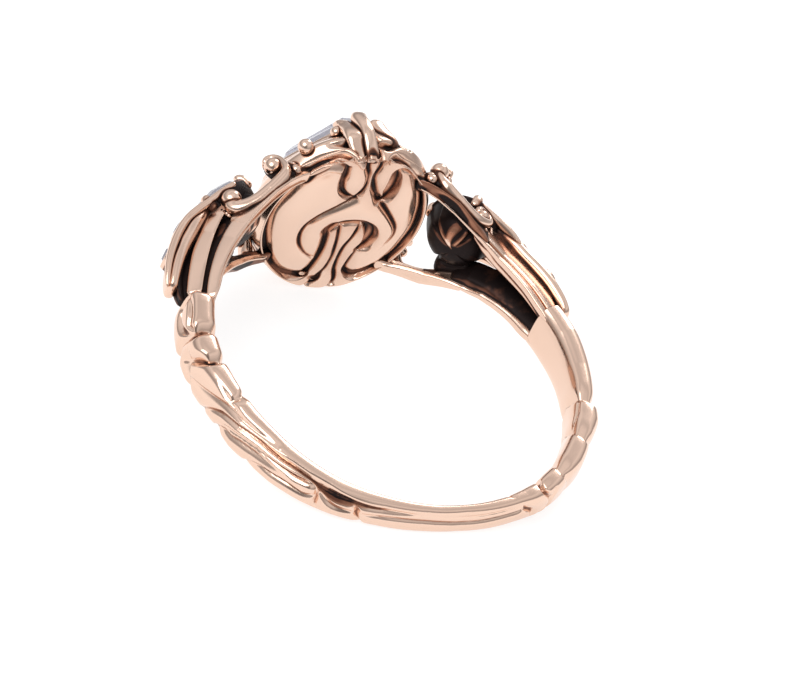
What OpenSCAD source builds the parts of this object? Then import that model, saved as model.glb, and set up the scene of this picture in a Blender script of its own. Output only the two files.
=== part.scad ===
// Three stone ring in rose gold: a carved closed-back head with a lozenge
// centre stone, open scroll shoulders that carry a round stone on each side,
// two small accent stones on each shoulder, and a narrow leaf-carved shank.
//
// Ring coordinates: X across the head, Y from the finger axis to the head,
// Z along the finger. The last step lays the ring on its side on Z = 0.
// Angles round the finger start at the head and are positive towards +X.

/* [Finger hole] */
// Inner radius of the ring, US size 6.5
bore_r = 8.5; // [7.8:0.1:9.5]
/* [Shank] */
// Half width of the shank at its back
back_half_w = 0.73; // [0.6:0.01:1.0]
// Half width of the shank where the shoulders begin
top_half_w = 1.24; // [1.1:0.01:1.5]
// Wall thickness of the shank at its back
back_wall = 0.62; // [0.5:0.01:0.9]
// Wall thickness of the shank beside the shoulders
side_wall = 1.32; // [1.0:0.01:1.6]
// Height of each carved leaf over the next one
leaf_step = 0.2; // [0.05:0.01:0.25]
/* [Head] */
// Half width of the lip round the carved back
lip_half_w = 3.93; // [3.6:0.01:4.2]
// Half length of the lip, along the finger
lip_half_l = 4.42; // [4.2:0.01:4.7]
// Distance from the finger axis to the carved back
lip_u = 8.6; // [8.55:0.01:8.8]
// Half width of the bezel that holds the centre stone
bezel_half_w = 3.4; // [3.3:0.01:3.6]
// Half length of the bezel
bezel_half_l = 4.45; // [4.2:0.01:4.6]
// Distance from the finger axis to the top of the bezel
bezel_u = 11.3; // [11:0.01:11.6]
// Depth and half width of the carved grooves
groove_r = 0.15; // [0.1:0.01:0.2]
/* [Stones] */
// Half width of the centre stone
centre_half_w = 2.75; // [2.6:0.01:2.8]
// Half length of the centre stone
centre_half_l = 3.55; // [3.4:0.01:3.65]
// Radius of each side stone
side_stone_r = 1.6; // [1.5:0.01:1.65]
// Angle from the head to each side stone
side_stone_phi = 34.5; // [33:0.5:35]
// Gap between a stone and its seat
stone_gap = 0.05; // [0.03:0.01:0.08]

/* [Hidden] */

gold = [0.86, 0.62, 0.50];
clear_stone = [0.84, 0.84, 0.90];

// Shoulder walls, one row for each station
// columns: angle, finger side radius, inner edge, outer edge, top radius
WALL = [[19, 9.25, 2.45, 3.25, 9.95],
        [24, 9.22, 2.30, 3.15, 9.95],
        [30, 9.10, 2.00, 2.90, 10.0],
        [36, 8.95, 1.70, 2.60, 10.2],
        [42, 8.75, 1.40, 2.25, 10.45],
        [48, 8.60, 1.10, 1.95, 10.45],
        [54, 8.50, 0.90, 1.70, 10.35],
        [60, 8.50, 0.72, 1.48, 10.2],
        [66, 8.50, 0.50, 1.30, 10.0],
        [72, 8.50, 0.30, 1.20, 9.85]];
// How far a wall leans inwards for each millimetre of height
wall_lean = 0.38;
wall_top = 0.6;
slot_deep = 0.18;

// Front strip of a shoulder: angle, half width, radius of its crest
STRIP = [[43, 1.18, 11.2], [47, 1.24, 11.2], [51, 1.12, 11.1], [55, 1.05, 11.05],
         [59, 1.0, 11.0], [64, 0.86, 10.92], [68, 0.66, 10.8], [71, 0.36, 10.6]];
strip_thick = 0.75;

// Accent stones: angle, radius of the stone, distance of its girdle
ACCENT = [[47.5, 0.52, 11.22], [57.5, 0.44, 11.02]];

// Leaves and knuckles carved round the shank: first angle, last angle
LEFT_LEAVES = [[-72, -90], [-90, -100], [-100, -117], [-117, -136], [-136, -157]];
RIGHT_LEAVES = [[68, 103], [103, 117], [117, 136], [136, 146], [146, 157]];

// Carved curves on the back of the head: [across, along the finger]
BACK_CURVES = [
    [[0.45, 3.7], [0.43, 3.15], [0.6, 2.4], [1.0, 1.75], [1.5, 1.2], [2.1, 0.55], [2.6, -0.1],
     [2.75, -0.6], [2.6, -1.15], [2.25, -1.75]],
    [[0.0, 1.5], [-0.5, 1.0], [-1.05, 0.5], [-1.45, 0.0], [-1.7, -0.5], [-1.75, -1.1],
     [-1.55, -1.7], [-1.2, -2.15], [-0.5, -2.55]],
    [[-0.95, 3.35], [-1.0, 2.5], [-0.8, 2.0], [-0.1, 1.55], [0.2, 1.9], [0.3, 2.4],
     [0.1, 3.05], [-0.2, 3.7]],
    [[-0.9, -3.75], [-0.5, -3.45], [-0.3, -2.8], [-0.3, -2.0], [-0.45, -1.2], [-0.45, -0.7],
     [0.05, -0.2], [0.6, -0.05], [1.15, -0.15], [1.55, -0.5], [1.75, -1.0], [1.6, -1.5],
     [1.35, -2.0], [1.25, -2.65], [1.3, -3.2], [1.6, -3.5]],
    [[0.05, -0.4], [0.3, -1.9], [0.4, -2.5], [0.35, -3.15], [0.15, -3.65]],
    [[1.0, -0.2], [0.9, -1.0], [0.72, -1.7], [0.7, -2.4], [0.8, -3.2], [0.95, -3.8]],
    [[1.0, 1.75], [1.45, 1.4], [1.7, 1.75], [1.8, 2.2], [1.8, 2.6], [1.5, 2.95]]];

// Straps over each end wall of the head: [across, distance from axis, height]
END_STRAPS = [
    [[0, 11.6, 0.05], [0.02, 11.3, 0.2], [0.1, 10.6, 0.25], [0.2, 9.8, 0.15], [0.3, 9.05, -0.06]],
    [[-0.15, 9.15, -0.05], [-0.8, 9.85, 0.12], [-1.6, 10.1, 0.14], [-2.4, 10.15, 0.1],
     [-3.0, 10.1, 0]],
    [[-0.2, 9.9, 0.1], [-0.75, 10.6, 0.2], [-0.95, 11.2, 0.22], [-1.45, 11.45, 0.2],
     [-1.75, 11.2, 0.12]],
    [[0.6, 9.3, 0], [1.1, 9.75, 0.1], [1.9, 9.85, 0.12], [2.6, 9.6, 0.08], [3.2, 9.2, 0]],
    [[0.5, 10.1, 0.1], [0.95, 10.6, 0.2], [1.15, 11.2, 0.24], [1.4, 11.4, 0.15]]];
strap_r = 0.26;
strap_sink = 0.26;

// Scrolls on each shoulder wall: angle, radius
SCROLL = [[40.5, 10.3], [39.2, 10.62], [36.6, 10.66], [35.6, 10.25], [36.4, 9.95],
          [33, 9.85], [29, 9.95], [24.5, 9.85], [20.8, 10.0], [19.6, 10.5], [21, 10.98],
          [24, 11.05], [25.4, 10.75], [24.6, 10.5]];
scroll_r = 0.23;
ball_r = 0.3;

// Resting pose: the lip of the head and the back of the shank touch the ground
back_r = bore_r + 0.42;
rest_tilt = atan((lip_half_l - back_half_w) / (lip_u + back_r));
rest_lift = lip_half_l * cos(rest_tilt) - lip_u * sin(rest_tilt);
table_u = 12.3;
table_width = 0.78;
table_length = 0.9;
far_y = table_u * cos(rest_tilt) + table_length * centre_half_l * sin(rest_tilt);
near_y = -(bore_r + back_wall) * cos(rest_tilt) - 0.2 * back_half_w * sin(rest_tilt);
rest_shift = -(far_y + near_y) / 2;

// Point at an angle, a radius and a place along the finger
function at_ring(phi, r, a) = [r * sin(phi), r * cos(phi), a];
// Straight-line lookup in a table, column c against column 0
function look(t, x, c, i = 0) =
    x <= t[0][0] ? t[0][c] :
    i >= len(t) - 1 ? t[len(t) - 1][c] :
    x <= t[i + 1][0] ? t[i][c] + (t[i + 1][c] - t[i][c]) * (x - t[i][0]) / (t[i + 1][0] - t[i][0]) :
    look(t, x, c, i + 1);
// Smooth curve through points: n steps from each point to the next
function blend4(p, q, r, s, t) =
    0.5 * (2 * q + (r - p) * t + (2 * p - 5 * q + 4 * r - s) * t * t
           + (3 * q - p - 3 * r + s) * t * t * t);
function smooth(p, n) =
    [for (i = [0 : len(p) - 2], k = [0 : n - 1])
         blend4(p[max(i - 1, 0)], p[i], p[i + 1], p[min(i + 2, len(p) - 1)], k / n),
     p[len(p) - 1]];
// Distance to an oval, and to a lozenge whose flanks are cut straight, at an angle
function oval_at(t) = 1 / norm([cos(t) / lip_half_w, sin(t) / lip_half_l]);
function lozenge_at(t) = let (c = abs(cos(t)), s = abs(sin(t)))
    pow(pow(c / bezel_half_w, 9) + pow((lozenge_slope * c + s) / bezel_half_l, 9), -1 / 9);

// Solid through a list of closed sections that all have the same number of points
module loft(secs, flip = false) {
    n = len(secs);
    m = len(secs[0]);
    side = [for (i = [0 : n - 2], j = [0 : m - 1])
        let (a = i * m + j, b = i * m + (j + 1) % m) [a, b, b + m, a + m]];
    ends = [[for (j = [m - 1 : -1 : 0]) j], [for (j = [0 : m - 1]) (n - 1) * m + j]];
    all = concat(side, ends);
    polyhedron([for (s = secs, p = s) p],
               flip ? [for (f = all) [for (k = [len(f) - 1 : -1 : 0]) f[k]]] : all, convexity = 10);
}

// Round wire along a path, thinner at its ends when taper is below 1
function unit(v) = v / max(norm(v), 0.0001);
function wire_ring(p, i, r, up, m) =
    let (t = unit(p[min(i + 1, len(p) - 1)] - p[max(i - 1, 0)]),
         x = unit(cross(t, up)), y = cross(x, t))
    [for (k = [0 : m - 1]) p[i] + r * (cos(360 * k / m) * x + sin(360 * k / m) * y)];
module wire(p, r, up, m = 5, taper = 1) {
    last = len(p) - 1;
    loft([for (i = [0 : last])
        wire_ring(p, i, r * (taper + (1 - taper) * sin(180 * i / last)), up, m)]);
}

// Shank: how far a leaf rises at an angle, from its root to its tip
function leaf_rise(phi, rows) =
    max([for (l = rows) let (t = (phi - l[0]) / (l[1] - l[0]))
         t >= 0 && t < 1 ? leaf_step * (sin(150 * t + 20) - 0.3) : 0]);
function half_w(phi) = let (b = 180 - abs(phi))
    look([[0, back_half_w], [30, back_half_w + 0.05], [60, 1.02], [90, 1.12], [116, top_half_w]], b, 1);
function wall_at(phi) = let (b = 180 - abs(phi))
    look([[0, back_wall], [20, 0.78], [45, 1.0], [80, 1.15], [95, side_wall], [116, side_wall]], b, 1);
module shank() {
    loft([for (i = [0 : 57])
        let (p = 65.2 + i * (360 - 2 * 65.2) / 57,
             phi = p > 180 ? p - 360 : p,
             w = half_w(phi),
             top = bore_r + wall_at(phi) + leaf_rise(phi, phi < 0 ? LEFT_LEAVES : RIGHT_LEAVES),
             shoulder = bore_r + 0.66 * (top - bore_r))
        [at_ring(phi, bore_r, -0.8 * w), at_ring(phi, bore_r, 0.8 * w),
         at_ring(phi, bore_r + 0.12, w), at_ring(phi, shoulder, w),
         at_ring(phi, top - 0.06, 0.62 * w), at_ring(phi, top, 0.2 * w),
         at_ring(phi, top, -0.3 * w), at_ring(phi, top - 0.08, -0.7 * w),
         at_ring(phi, shoulder, -w), at_ring(phi, bore_r + 0.12, -w)]]);
}

// One shoulder wall with two flat bars parted by a slot on its outer face
module shoulder_wall(side, end) {
    loft([for (i = [0 : 17]) let (phi = 18.7 + i * 3,
              r0 = look(WALL, phi, 1), a0 = look(WALL, phi, 2), a1 = look(WALL, phi, 3),
              r1 = look(WALL, phi, 4),
              slot = phi > 40 && phi < 70 ? slot_deep : 0,
              mid = r0 + 0.42 * (r1 - r0), lean = wall_lean)
        [for (q = [[r0, a0], [r0, a1],
                   [mid - 0.12, a1 - lean * (mid - 0.12 - r0)],
                   [mid, a1 - slot - lean * (mid - r0)],
                   [mid + 0.12, a1 - lean * (mid + 0.12 - r0)],
                   [r1, a1 - lean * (r1 - r0)],
                   [r1, a1 - wall_top - lean * (r1 - r0)]])
             at_ring(side * phi, q[0], end * q[1])]], side * end < 0);
}

// Front strip with its pointed free end, over the two walls
module front_strip(side) {
    loft([for (s = STRIP) let (w = s[1], r = s[2])
        [at_ring(side * s[0], r - strip_thick, -w), at_ring(side * s[0], r - strip_thick, w),
         at_ring(side * s[0], r - 0.3, w), at_ring(side * s[0], r - 0.04, 0.6 * w),
         at_ring(side * s[0], r, 0), at_ring(side * s[0], r - 0.04, -0.6 * w),
         at_ring(side * s[0], r - 0.3, -w)]], side < 0);
}

// Scroll wire that ends in a ball, lying on the outer face of a wall
module scroll(side, end) {
    pts = [for (s = smooth(SCROLL, 2)) let (r0 = look(WALL, s[0], 1), a1 = look(WALL, s[0], 3))
        at_ring(side * s[0], s[1], end * (a1 - wall_lean * (s[1] - r0) - 0.1))];
    wire(pts, scroll_r, [side * 0.5, 0.3, 0.8 * end], 5, 0.85);
    translate(pts[len(pts) - 1]) sphere(ball_r, $fn = 8);
    translate(at_ring(side * 37.8, 10.3, end * (look(WALL, 37.8, 3) - 0.5))) sphere(0.42, $fn = 8);
}

// Turns a shape drawn upwards from the finger axis to an angle on a shoulder
module on_shoulder(side, phi) {
    rotate([0, 0, -side * phi]) rotate([-90, 0, 0]) children();
}

// Closed cup under a round stone
module stone_cup(side) {
    on_shoulder(side, side_stone_phi)
        difference() {
            rotate_extrude($fn = 20)
                polygon([[0, 9.1], [0.6, 9.15], [1.15, 9.5], [1.6, 10.15], [1.85, 10.7],
                         [side_stone_r + 0.3, 10.95], [side_stone_r + 0.22, 11.1], [0, 11.1]]);
            rotate_extrude($fn = 20)
                polygon([[0, 9.45], [0.5, 9.6], [1.3, 10.55], [side_stone_r + stone_gap, 10.82],
                         [side_stone_r + stone_gap, 12], [0, 12]]);
        }
}

// Collar of one accent stone, and the pocket cut down into it
module accent_collar(side, row) {
    on_shoulder(side, row[0])
        translate([0, 0, row[2] - 0.9]) cylinder(r = row[1] + 0.2, h = 0.98, $fn = 16);
}
module accent_pocket(side, row) {
    wide = row[1] + stone_gap + 0.02;
    on_shoulder(side, row[0]) {
        translate([0, 0, row[2] - 0.36]) cylinder(r1 = 0.2, r2 = wide, h = 0.33, $fn = 16);
        translate([0, 0, row[2] - 0.04]) cylinder(r = wide, h = 0.6, $fn = 16);
    }
}

// Head: an oval at the carved back that turns into a lozenge at the bezel
// columns: distance from axis, growth of the outline, share of the lozenge
HEAD = [[lip_u - 0.05, -0.75, 0],
        [lip_u - 0.03, -0.3, 0],
        [lip_u + 0.05, 0, 0],
        [lip_u + 0.3, 0.03, 0],
        [9.5, 0.08, 0],
        [10.0, 0.1, 0.05],
        [10.5, 0.08, 0.5],
        [10.9, 0.04, 0.9],
        [bezel_u, 0, 1]];
lozenge_slope = 1.05;
function head_at(t, u) = let (share = look(HEAD, u, 2))
    look(HEAD, u, 1) + (1 - share) * oval_at(t) + share * lozenge_at(t);
function head_level(u) =
    [for (k = [0 : 39]) [head_at(9 * k, u) * cos(9 * k), u, head_at(9 * k, u) * sin(9 * k)]];
// Length of the head at a place across it, found by a few steps towards the outline
function head_len(u, x, len = lip_half_l, steps = 5) =
    steps == 0 ? len
    : head_len(u, x, len * head_at(atan2(len, abs(x)), u) / norm([x, len]), steps - 1);

module head_body() {
    difference() {
        loft([for (row = HEAD) head_level(row[0])]);
        loft([for (q = [[9.3, 0.3], [bezel_u - 0.25, 1], [bezel_u - 0.25, 1.001], [bezel_u + 1, 1.001]])
            let (grow = q[1] < 1 ? q[1] : 1 + stone_gap / 2.4)
            [for (p = centre_outline(grow, grow)) [p[0], q[0], p[1]]]]);
    }
}
module back_grooves() {
    for (c = BACK_CURVES)
        wire([for (p = smooth(c, 1)) [p[0], lip_u - 0.07, p[1]]], groove_r, [0, 1, 0], 5);
    rim = [for (k = [0 : 30]) let (t = 95 + 11 * k)
        [(lip_half_w - 0.27) * cos(t), lip_u - 0.05, (lip_half_l - 0.27) * sin(t)]];
    wire(rim, groove_r, [0, 1, 0], 5);
}
module end_straps(end) {
    for (c = END_STRAPS)
        wire([for (p = smooth(c, 2)) [p[0], p[1], end * (head_len(p[1], p[0]) + p[2] - strap_sink)]],
             strap_r, [0, 0, 1], 5, 0.8);
    for (b = [[-2.1, 11.15, 0.24], [-1.62, 11.2, 0.2], [1.5, 11.3, 0.3]])
        translate([b[0], b[1], end * head_len(b[1], b[0])]) sphere(b[2], $fn = 8);
}

// Octagon of the centre stone: long sides run from the narrow ends to the flanks
end_part = 0.18;
flank_part = 0.31;
function centre_outline(width, length) =
    [for (q = [[1, flank_part], [end_part, 1], [-end_part, 1], [-1, flank_part],
               [-1, -flank_part], [-end_part, -1], [end_part, -1], [1, -flank_part]])
        [q[0] * centre_half_w * width, q[1] * centre_half_l * length]];
// Step cut, culet first: distance from axis, share of the width, share of the length
CENTRE_CUT = [[9.55, 0.12, 0.12], [10.35, 0.66, 0.66], [11.0, 0.94, 0.94], [11.12, 1, 1],
              [11.25, 1, 1], [11.9, 0.91, 0.97], [table_u, table_width, table_length]];
module centre_cut() {
    loft([for (row = CENTRE_CUT) [for (p = centre_outline(row[1], row[2])) [p[0], row[0], p[1]]]]);
}
// Side stone, culet first: distance from axis, share of the radius
SIDE_CUT = [[9.75, 0.1], [10.72, 0.9], [10.9, 1], [11.0, 1], [11.3, 0.88], [11.5, 0.68]];
// Round cut of radius r: levels as [height, size], eight sides turned by half a step
module round_cut(r, levels) {
    loft([for (i = [0 : len(levels) - 1])
        [for (k = [0 : 7]) let (t = 45 * k + 22.5)
            [r * levels[i][1] * cos(t), r * levels[i][1] * sin(t), levels[i][0]]]], true);
}

module at_rest() {
    translate([0, rest_shift, rest_lift]) rotate([rest_tilt, 0, 0]) children();
}

module mount() {
    color(gold) at_rest() {
        shank();
        for (side = [-1, 1]) {
            for (end = [-1, 1]) {
                shoulder_wall(side, end);
                scroll(side, end);
            }
            difference() {
                union() {
                    front_strip(side);
                    for (row = ACCENT) accent_collar(side, row);
                }
                for (row = ACCENT) accent_pocket(side, row);
            }
            stone_cup(side);
        }
        difference() {
            head_body();
            back_grooves();
        }
        for (end = [-1, 1]) end_straps(end);
    }
}
module centre_stone() {
    color(clear_stone) at_rest() centre_cut();
}
module side_stone(side) {
    color(clear_stone) at_rest() on_shoulder(side, side_stone_phi)
        round_cut(side_stone_r, SIDE_CUT);
}
module accent(side, row) {
    color(clear_stone) at_rest() on_shoulder(side, row[0])
        translate([0, 0, row[2]])
            round_cut(row[1], [[-0.22, 0.3], [0, 1], [0.06, 1], [0.3, 0.62]]);
}

mount();
centre_stone();
side_stone(-1);  // left_stone
side_stone(1);  // right_stone
accent(-1, ACCENT[0]);  // left_upper_accent
accent(-1, ACCENT[1]);  // left_lower_accent
accent(1, ACCENT[0]);  // right_upper_accent
accent(1, ACCENT[1]);  // right_lower_accent
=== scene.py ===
import math

import bpy
import numpy as np
from mathutils import Matrix


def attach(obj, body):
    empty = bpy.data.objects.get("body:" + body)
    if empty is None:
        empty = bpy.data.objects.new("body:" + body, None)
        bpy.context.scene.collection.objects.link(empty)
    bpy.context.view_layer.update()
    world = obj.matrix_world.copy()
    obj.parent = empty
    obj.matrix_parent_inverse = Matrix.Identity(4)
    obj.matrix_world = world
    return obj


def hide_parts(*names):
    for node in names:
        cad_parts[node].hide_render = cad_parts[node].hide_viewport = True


# Three stone ring in rose gold, lying on its side on a pale floor.
#
# Shapes are worked out in ring millimetres: across the head (x), from the
# finger axis to the head (y) and along the finger (z). place() turns them to
# the resting pose. Angles round the finger start at the head, towards +x.
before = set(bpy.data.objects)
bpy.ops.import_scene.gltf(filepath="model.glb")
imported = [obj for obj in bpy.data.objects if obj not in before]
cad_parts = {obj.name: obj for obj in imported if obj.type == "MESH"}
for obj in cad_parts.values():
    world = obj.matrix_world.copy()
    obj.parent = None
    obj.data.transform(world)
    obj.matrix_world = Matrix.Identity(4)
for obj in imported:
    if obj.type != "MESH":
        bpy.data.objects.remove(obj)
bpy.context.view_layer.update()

ALONG_FINGER = np.array([0, 0, 1.0])

# Finger hole and resting pose, as in the solids: the ring lies on the lip of its head and on the back of
# its shank. A reach is a distance along the finger from the ring's middle; the centre stone's table takes
# a share of the stone's half length
BORE = 8.5
LIP_TOUCH = 8.6
LIP_REACH = 4.42
BACK_TOUCH_WALL = 0.42
BACK_REACH = 0.73
BACK_WALL = 0.62
BACK_FLAT = 0.2
TABLE_TOP = 12.3
STONE_HALF = 3.55
TABLE_SHARE = 0.9
TABLE_REACH = TABLE_SHARE * STONE_HALF
REST_TILT = math.atan((LIP_REACH - BACK_REACH) / (LIP_TOUCH + BORE + BACK_TOUCH_WALL))
REST_LIFT = LIP_REACH * math.cos(REST_TILT) - LIP_TOUCH * math.sin(REST_TILT)
FAR_EDGE = TABLE_TOP * math.cos(REST_TILT) + TABLE_REACH * math.sin(REST_TILT)
NEAR_EDGE = (BORE + BACK_WALL) * math.cos(REST_TILT) + BACK_FLAT * BACK_REACH * math.sin(REST_TILT)
REST_SHIFT = (NEAR_EDGE - FAR_EDGE) / 2

# Head: an oval lip round the carved back, a lozenge rim round the stone. U is a distance from the finger
# axis, W half of a width across the head, L half of a length along the finger
LIP_U = 8.56
LIP_W = 3.97
LIP_L = 4.5
LIP_ROUND = 0.22
RIM_U = 11.3
RIM_W = 3.45
RIM_L = 4.5
RIM_SLOPE = 1.05
RIM_WALL = 0.36
RIM_POWER = 9
WALL_SWELL = 0.16
# The oval turns into the lozenge between these two
OVAL_TO_U = 9.8
LOZENGE_FROM_U = 11.2
SEAM_U = 9.35
HEAD_MIDDLE = [0, 10.2, 0]
HEAD_STEPS = 720
# Inside of the head below the stone, columns: distance from the finger axis, share of the rim's inside
HEAD_INSIDE = [[10.9, 0.98], [10.4, 0.8], [9.9, 0.5]]

# Shank, by angle: half width, and radius of its crest
SHANK_HALF = [[64, 1.26], [78, 1.26], [90, 1.14], [120, 1.07], [150, 0.8], [180, 0.73],
              [210, 0.8], [240, 1.07], [270, 1.14], [284, 1.26], [296, 1.26]]
SHANK_TOP = [[64, 9.75], [72, 9.83], [80, 9.85], [90, 9.75], [98, 9.66], [103, 9.6], [105, 9.8],
             [109, 9.86], [117, 9.66], [126, 9.68], [134, 9.57], [143, 9.53], [153, 9.3],
             [172, 9.1], [184, 9.16], [197, 9.36], [210, 9.75], [219, 9.88], [228, 9.9],
             [235, 9.8], [243, 9.88], [250, 9.72], [257, 9.8], [264, 9.95], [271, 10.01],
             [281, 10.03], [296, 9.95]]
# Rows along the shank between its first and last angle, points round it, and the power of its section
SHANK_FIRST = 69
SHANK_LAST = 289.3
SHANK_ROWS = 840
SHANK_SIDES = 110
SHANK_POWER = 3.0
# Length of a degree along the shank at its mean radius
DEGREE = math.radians(9.6)

# Shoulder walls, by angle: finger side radius, and how far along the finger the outer face is there
WALL = [[17, 9.15, 3.25], [20, 9.15, 3.2], [24, 9.12, 3.05], [30, 9.0, 2.8], [36, 8.88, 2.32],
        [42, 8.79, 1.85], [48, 8.7, 1.6], [54, 8.62, 1.52], [60, 8.56, 1.45], [66, 8.5, 1.33],
        [72, 8.5, 1.22], [76, 8.5, 1.2]]
WALL_LEAN = 0.54


def column(table, x, c=1):
    """Straight-line lookup in a table: column c at places x of its first column."""
    rows = np.asarray(table, float)
    return np.interp(x, rows[:, 0], rows[:, c])


def ease(low, high, x):
    """Smooth step: 0 below low, 1 above high, 3t^2 - 2t^3 between."""
    t = np.clip((x - low) / (high - low), 0, 1)
    return t * t * (3 - 2 * t)


def unit(v):
    """Vectors scaled to length 1."""
    return v / np.maximum(np.linalg.norm(v, axis=-1, keepdims=True), 1e-12)


def place(points):
    """Ring millimetres to row metres: a turn by the resting tilt about x, a shift along y and a lift."""
    x, y, z = np.moveaxis(np.asarray(points, float), -1, 0)
    c, s = math.cos(REST_TILT), math.sin(REST_TILT)
    return np.stack([x, c * y - s * z + REST_SHIFT, s * y + c * z + REST_LIFT], -1) / 1000


def at_ring(angle, radius, along):
    """Point at an angle round the finger, a radius and a place along the finger."""
    angle, radius, along = np.broadcast_arrays(np.radians(angle), radius, along)
    return np.stack([radius * np.sin(angle), radius * np.cos(angle), along], -1)


def smooth_path(rows, count, measure=2):
    """Rounded curve through table rows: cubics whose slope at a row is half of the step between its
    neighbours, sampled evenly by the chord length of the first columns. Every column is carried along."""
    p = np.asarray(rows, float)
    q = np.vstack([2 * p[0] - p[1], p, 2 * p[-1] - p[-2]])
    chord = np.maximum(np.linalg.norm(np.diff(p[:, :measure], axis=0), axis=1), 1e-9)
    reach = np.concatenate([[0], np.cumsum(chord)])
    x = np.linspace(0, reach[-1], count)
    i = np.clip(np.searchsorted(reach, x, "right") - 1, 0, len(p) - 2)
    t = ((x - reach[i]) / chord[i])[:, None]
    a, b, c, d = q[i], q[i + 1], q[i + 2], q[i + 3]
    return 0.5 * (2 * b + (c - a) * t + (2 * a - 5 * b + 4 * c - d) * t ** 2
                  + (3 * b - a - 3 * c + d) * t ** 3)


def full_turn(count):
    """Evenly spaced angles of one whole turn."""
    return np.linspace(0, 2 * np.pi, count, endpoint=False)


def rounded(t, power):
    """Rounded oval |a|^power + |b|^power = 1 at angles t: a is |cos t|^(2 / power) with the sign of cos t,
    and b the same with the sine."""
    a, b = np.cos(t), np.sin(t)
    return np.sign(a) * np.abs(a) ** (2 / power), np.sign(b) * np.abs(b) ** (2 / power)


def round_ends(path, reach):
    """Share of a strand's full size at each point of its path: within a reach of its ends it falls as a
    half circle does, sqrt(1 - (1 - distance / reach)^2)."""
    along = np.concatenate([[0], np.cumsum(np.linalg.norm(np.diff(path, axis=0), axis=1))])
    near = np.minimum(along, along[-1] - along) / reach
    return np.sqrt(np.clip(1 - (1 - np.minimum(near, 1)) ** 2, 0.02, 1))


# Shapes: points, quads, triangles and, for each point, a share of patina and painted shade
def grid(points, stain=0.0):
    """Closed skin over a grid of points: a quad between neighbouring rows and columns, the columns
    wrapped round, and a fan of triangles to the middle of the first and of the last row."""
    m, n = points.shape[:2]
    i, j = np.arange(m - 1)[:, None], np.arange(n)[None]
    a, b = i * n + j, i * n + (j + 1) % n
    quads = np.stack([a, b, b + n, a + n], -1).reshape(-1, 4)
    ring = np.arange(n)
    turn = np.roll(ring, -1)
    first, last = m * n, m * n + 1
    fans = [np.stack([turn, ring, np.full(n, first)], -1),
            np.stack([ring + (m - 1) * n, turn + (m - 1) * n, np.full(n, last)], -1)]
    middles = np.stack([points[0].mean(0), points[-1].mean(0)])
    level = np.broadcast_to(stain, (m, n)).reshape(-1)
    level = np.concatenate([level, [level[0], level[-1]]])
    return outward(np.vstack([points.reshape(-1, 3), middles]), quads, np.vstack(fans), level)


def outward(points, quads, triangles, stain):
    """Faces turned over if the signed volume that they enclose is negative."""
    a, b, c = points[quads[:, 0]], points[quads[:, 1]], points[quads[:, 2]]
    d = points[quads[:, 3]]
    e, f, g = points[triangles[:, 0]], points[triangles[:, 1]], points[triangles[:, 2]]
    volume = (np.einsum("ij,ij->", a, np.cross(b, c)) + np.einsum("ij,ij->", a, np.cross(c, d))
              + np.einsum("ij,ij->", e, np.cross(f, g)))
    if volume < 0:
        quads, triangles = quads[:, ::-1], triangles[:, ::-1]
    return points, quads, triangles, stain


def joined(shapes):
    """Several shapes as one: point numbers go on from shape to shape."""
    start = np.cumsum([0] + [len(s[0]) for s in shapes[:-1]])
    return (np.vstack([s[0] for s in shapes]),
            np.vstack([s[1] + k for s, k in zip(shapes, start)]),
            np.vstack([s[2] + k for s, k in zip(shapes, start)]),
            np.concatenate([s[3] for s in shapes]))


def mirrored(shape, side=1, end=1):
    """Shape reflected across the head and along the finger by signs."""
    return outward(shape[0] * np.array([side, 1, end]), *shape[1:])


def sweep(path, up, wide, high, sides=18, power=2.3):
    """Strand along a path: a rounded oval |a / wide|^power + |b / high|^power = 1 stands across the path,
    b towards up, and shrinks at both ends as a half circle does."""
    path = np.asarray(path, float)
    along = unit(np.gradient(path, axis=0))
    up = np.broadcast_to(np.asarray(up, float), path.shape)
    across = unit(np.cross(along, up))
    up = np.cross(across, along)
    a, b = rounded(full_turn(sides), power)
    wide, high = np.broadcast_to(wide, len(path)), np.broadcast_to(high, len(path))
    share = round_ends(path, np.maximum(np.minimum(wide, high), 1e-6))
    wide, high = wide * share, high * share
    return grid(path[:, None] + across[:, None] * (a[None] * wide[:, None])[..., None]
                + up[:, None] * (b[None] * high[:, None])[..., None])


# A direction in which no turned piece points
NO_AXIS = [0.31, 0.17, 0.93]


def turned(profile, centre, axis, sides):
    """Turned solid: a profile of radius and height, carried round an axis through a centre."""
    axis = unit(np.asarray(axis, float))
    side = unit(np.cross(axis, NO_AXIS))
    t = full_turn(sides)
    ring = side * np.cos(t)[:, None] + np.cross(axis, side) * np.sin(t)[:, None]
    r, h = np.asarray(profile, float).T
    return grid(centre + r[:, None, None] * ring + h[:, None, None] * axis)


def ball(centre, radius, sides=24):
    """Bead: a half circle, r = radius sin t and h = -radius cos t, turned round the finger's direction."""
    pole = 0.06
    t = np.linspace(pole, np.pi - pole, sides // 2)
    half_circle = np.stack([radius * np.sin(t), -radius * np.cos(t)], 1)
    return turned(half_circle, np.asarray(centre, float), ALONG_FINGER, sides)


# Carving: lines cut into a surface that is unrolled to a flat chart
def nearest(x, y, path):
    """Distance from chart points to a path, the side on which they lie (left is positive) and the
    nearest place on it, counted in the path's rows."""
    best = np.full(x.shape, 1e9)
    side = np.zeros(x.shape)
    where = np.zeros(x.shape)
    for k, (start, step) in enumerate(zip(path[:-1, :2], np.diff(path[:, :2], axis=0))):
        t = np.clip(((x - start[0]) * step[0] + (y - start[1]) * step[1]) / max(step @ step, 1e-12), 0, 1)
        dx, dy = x - start[0] - t * step[0], y - start[1] - t * step[1]
        d = dx * dx + dy * dy
        near = d < best
        best = np.where(near, d, best)
        side = np.where(near, step[0] * dy - step[1] * dx, side)
        where = np.where(near, k + t, where)
    return np.sqrt(best), side, where


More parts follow.
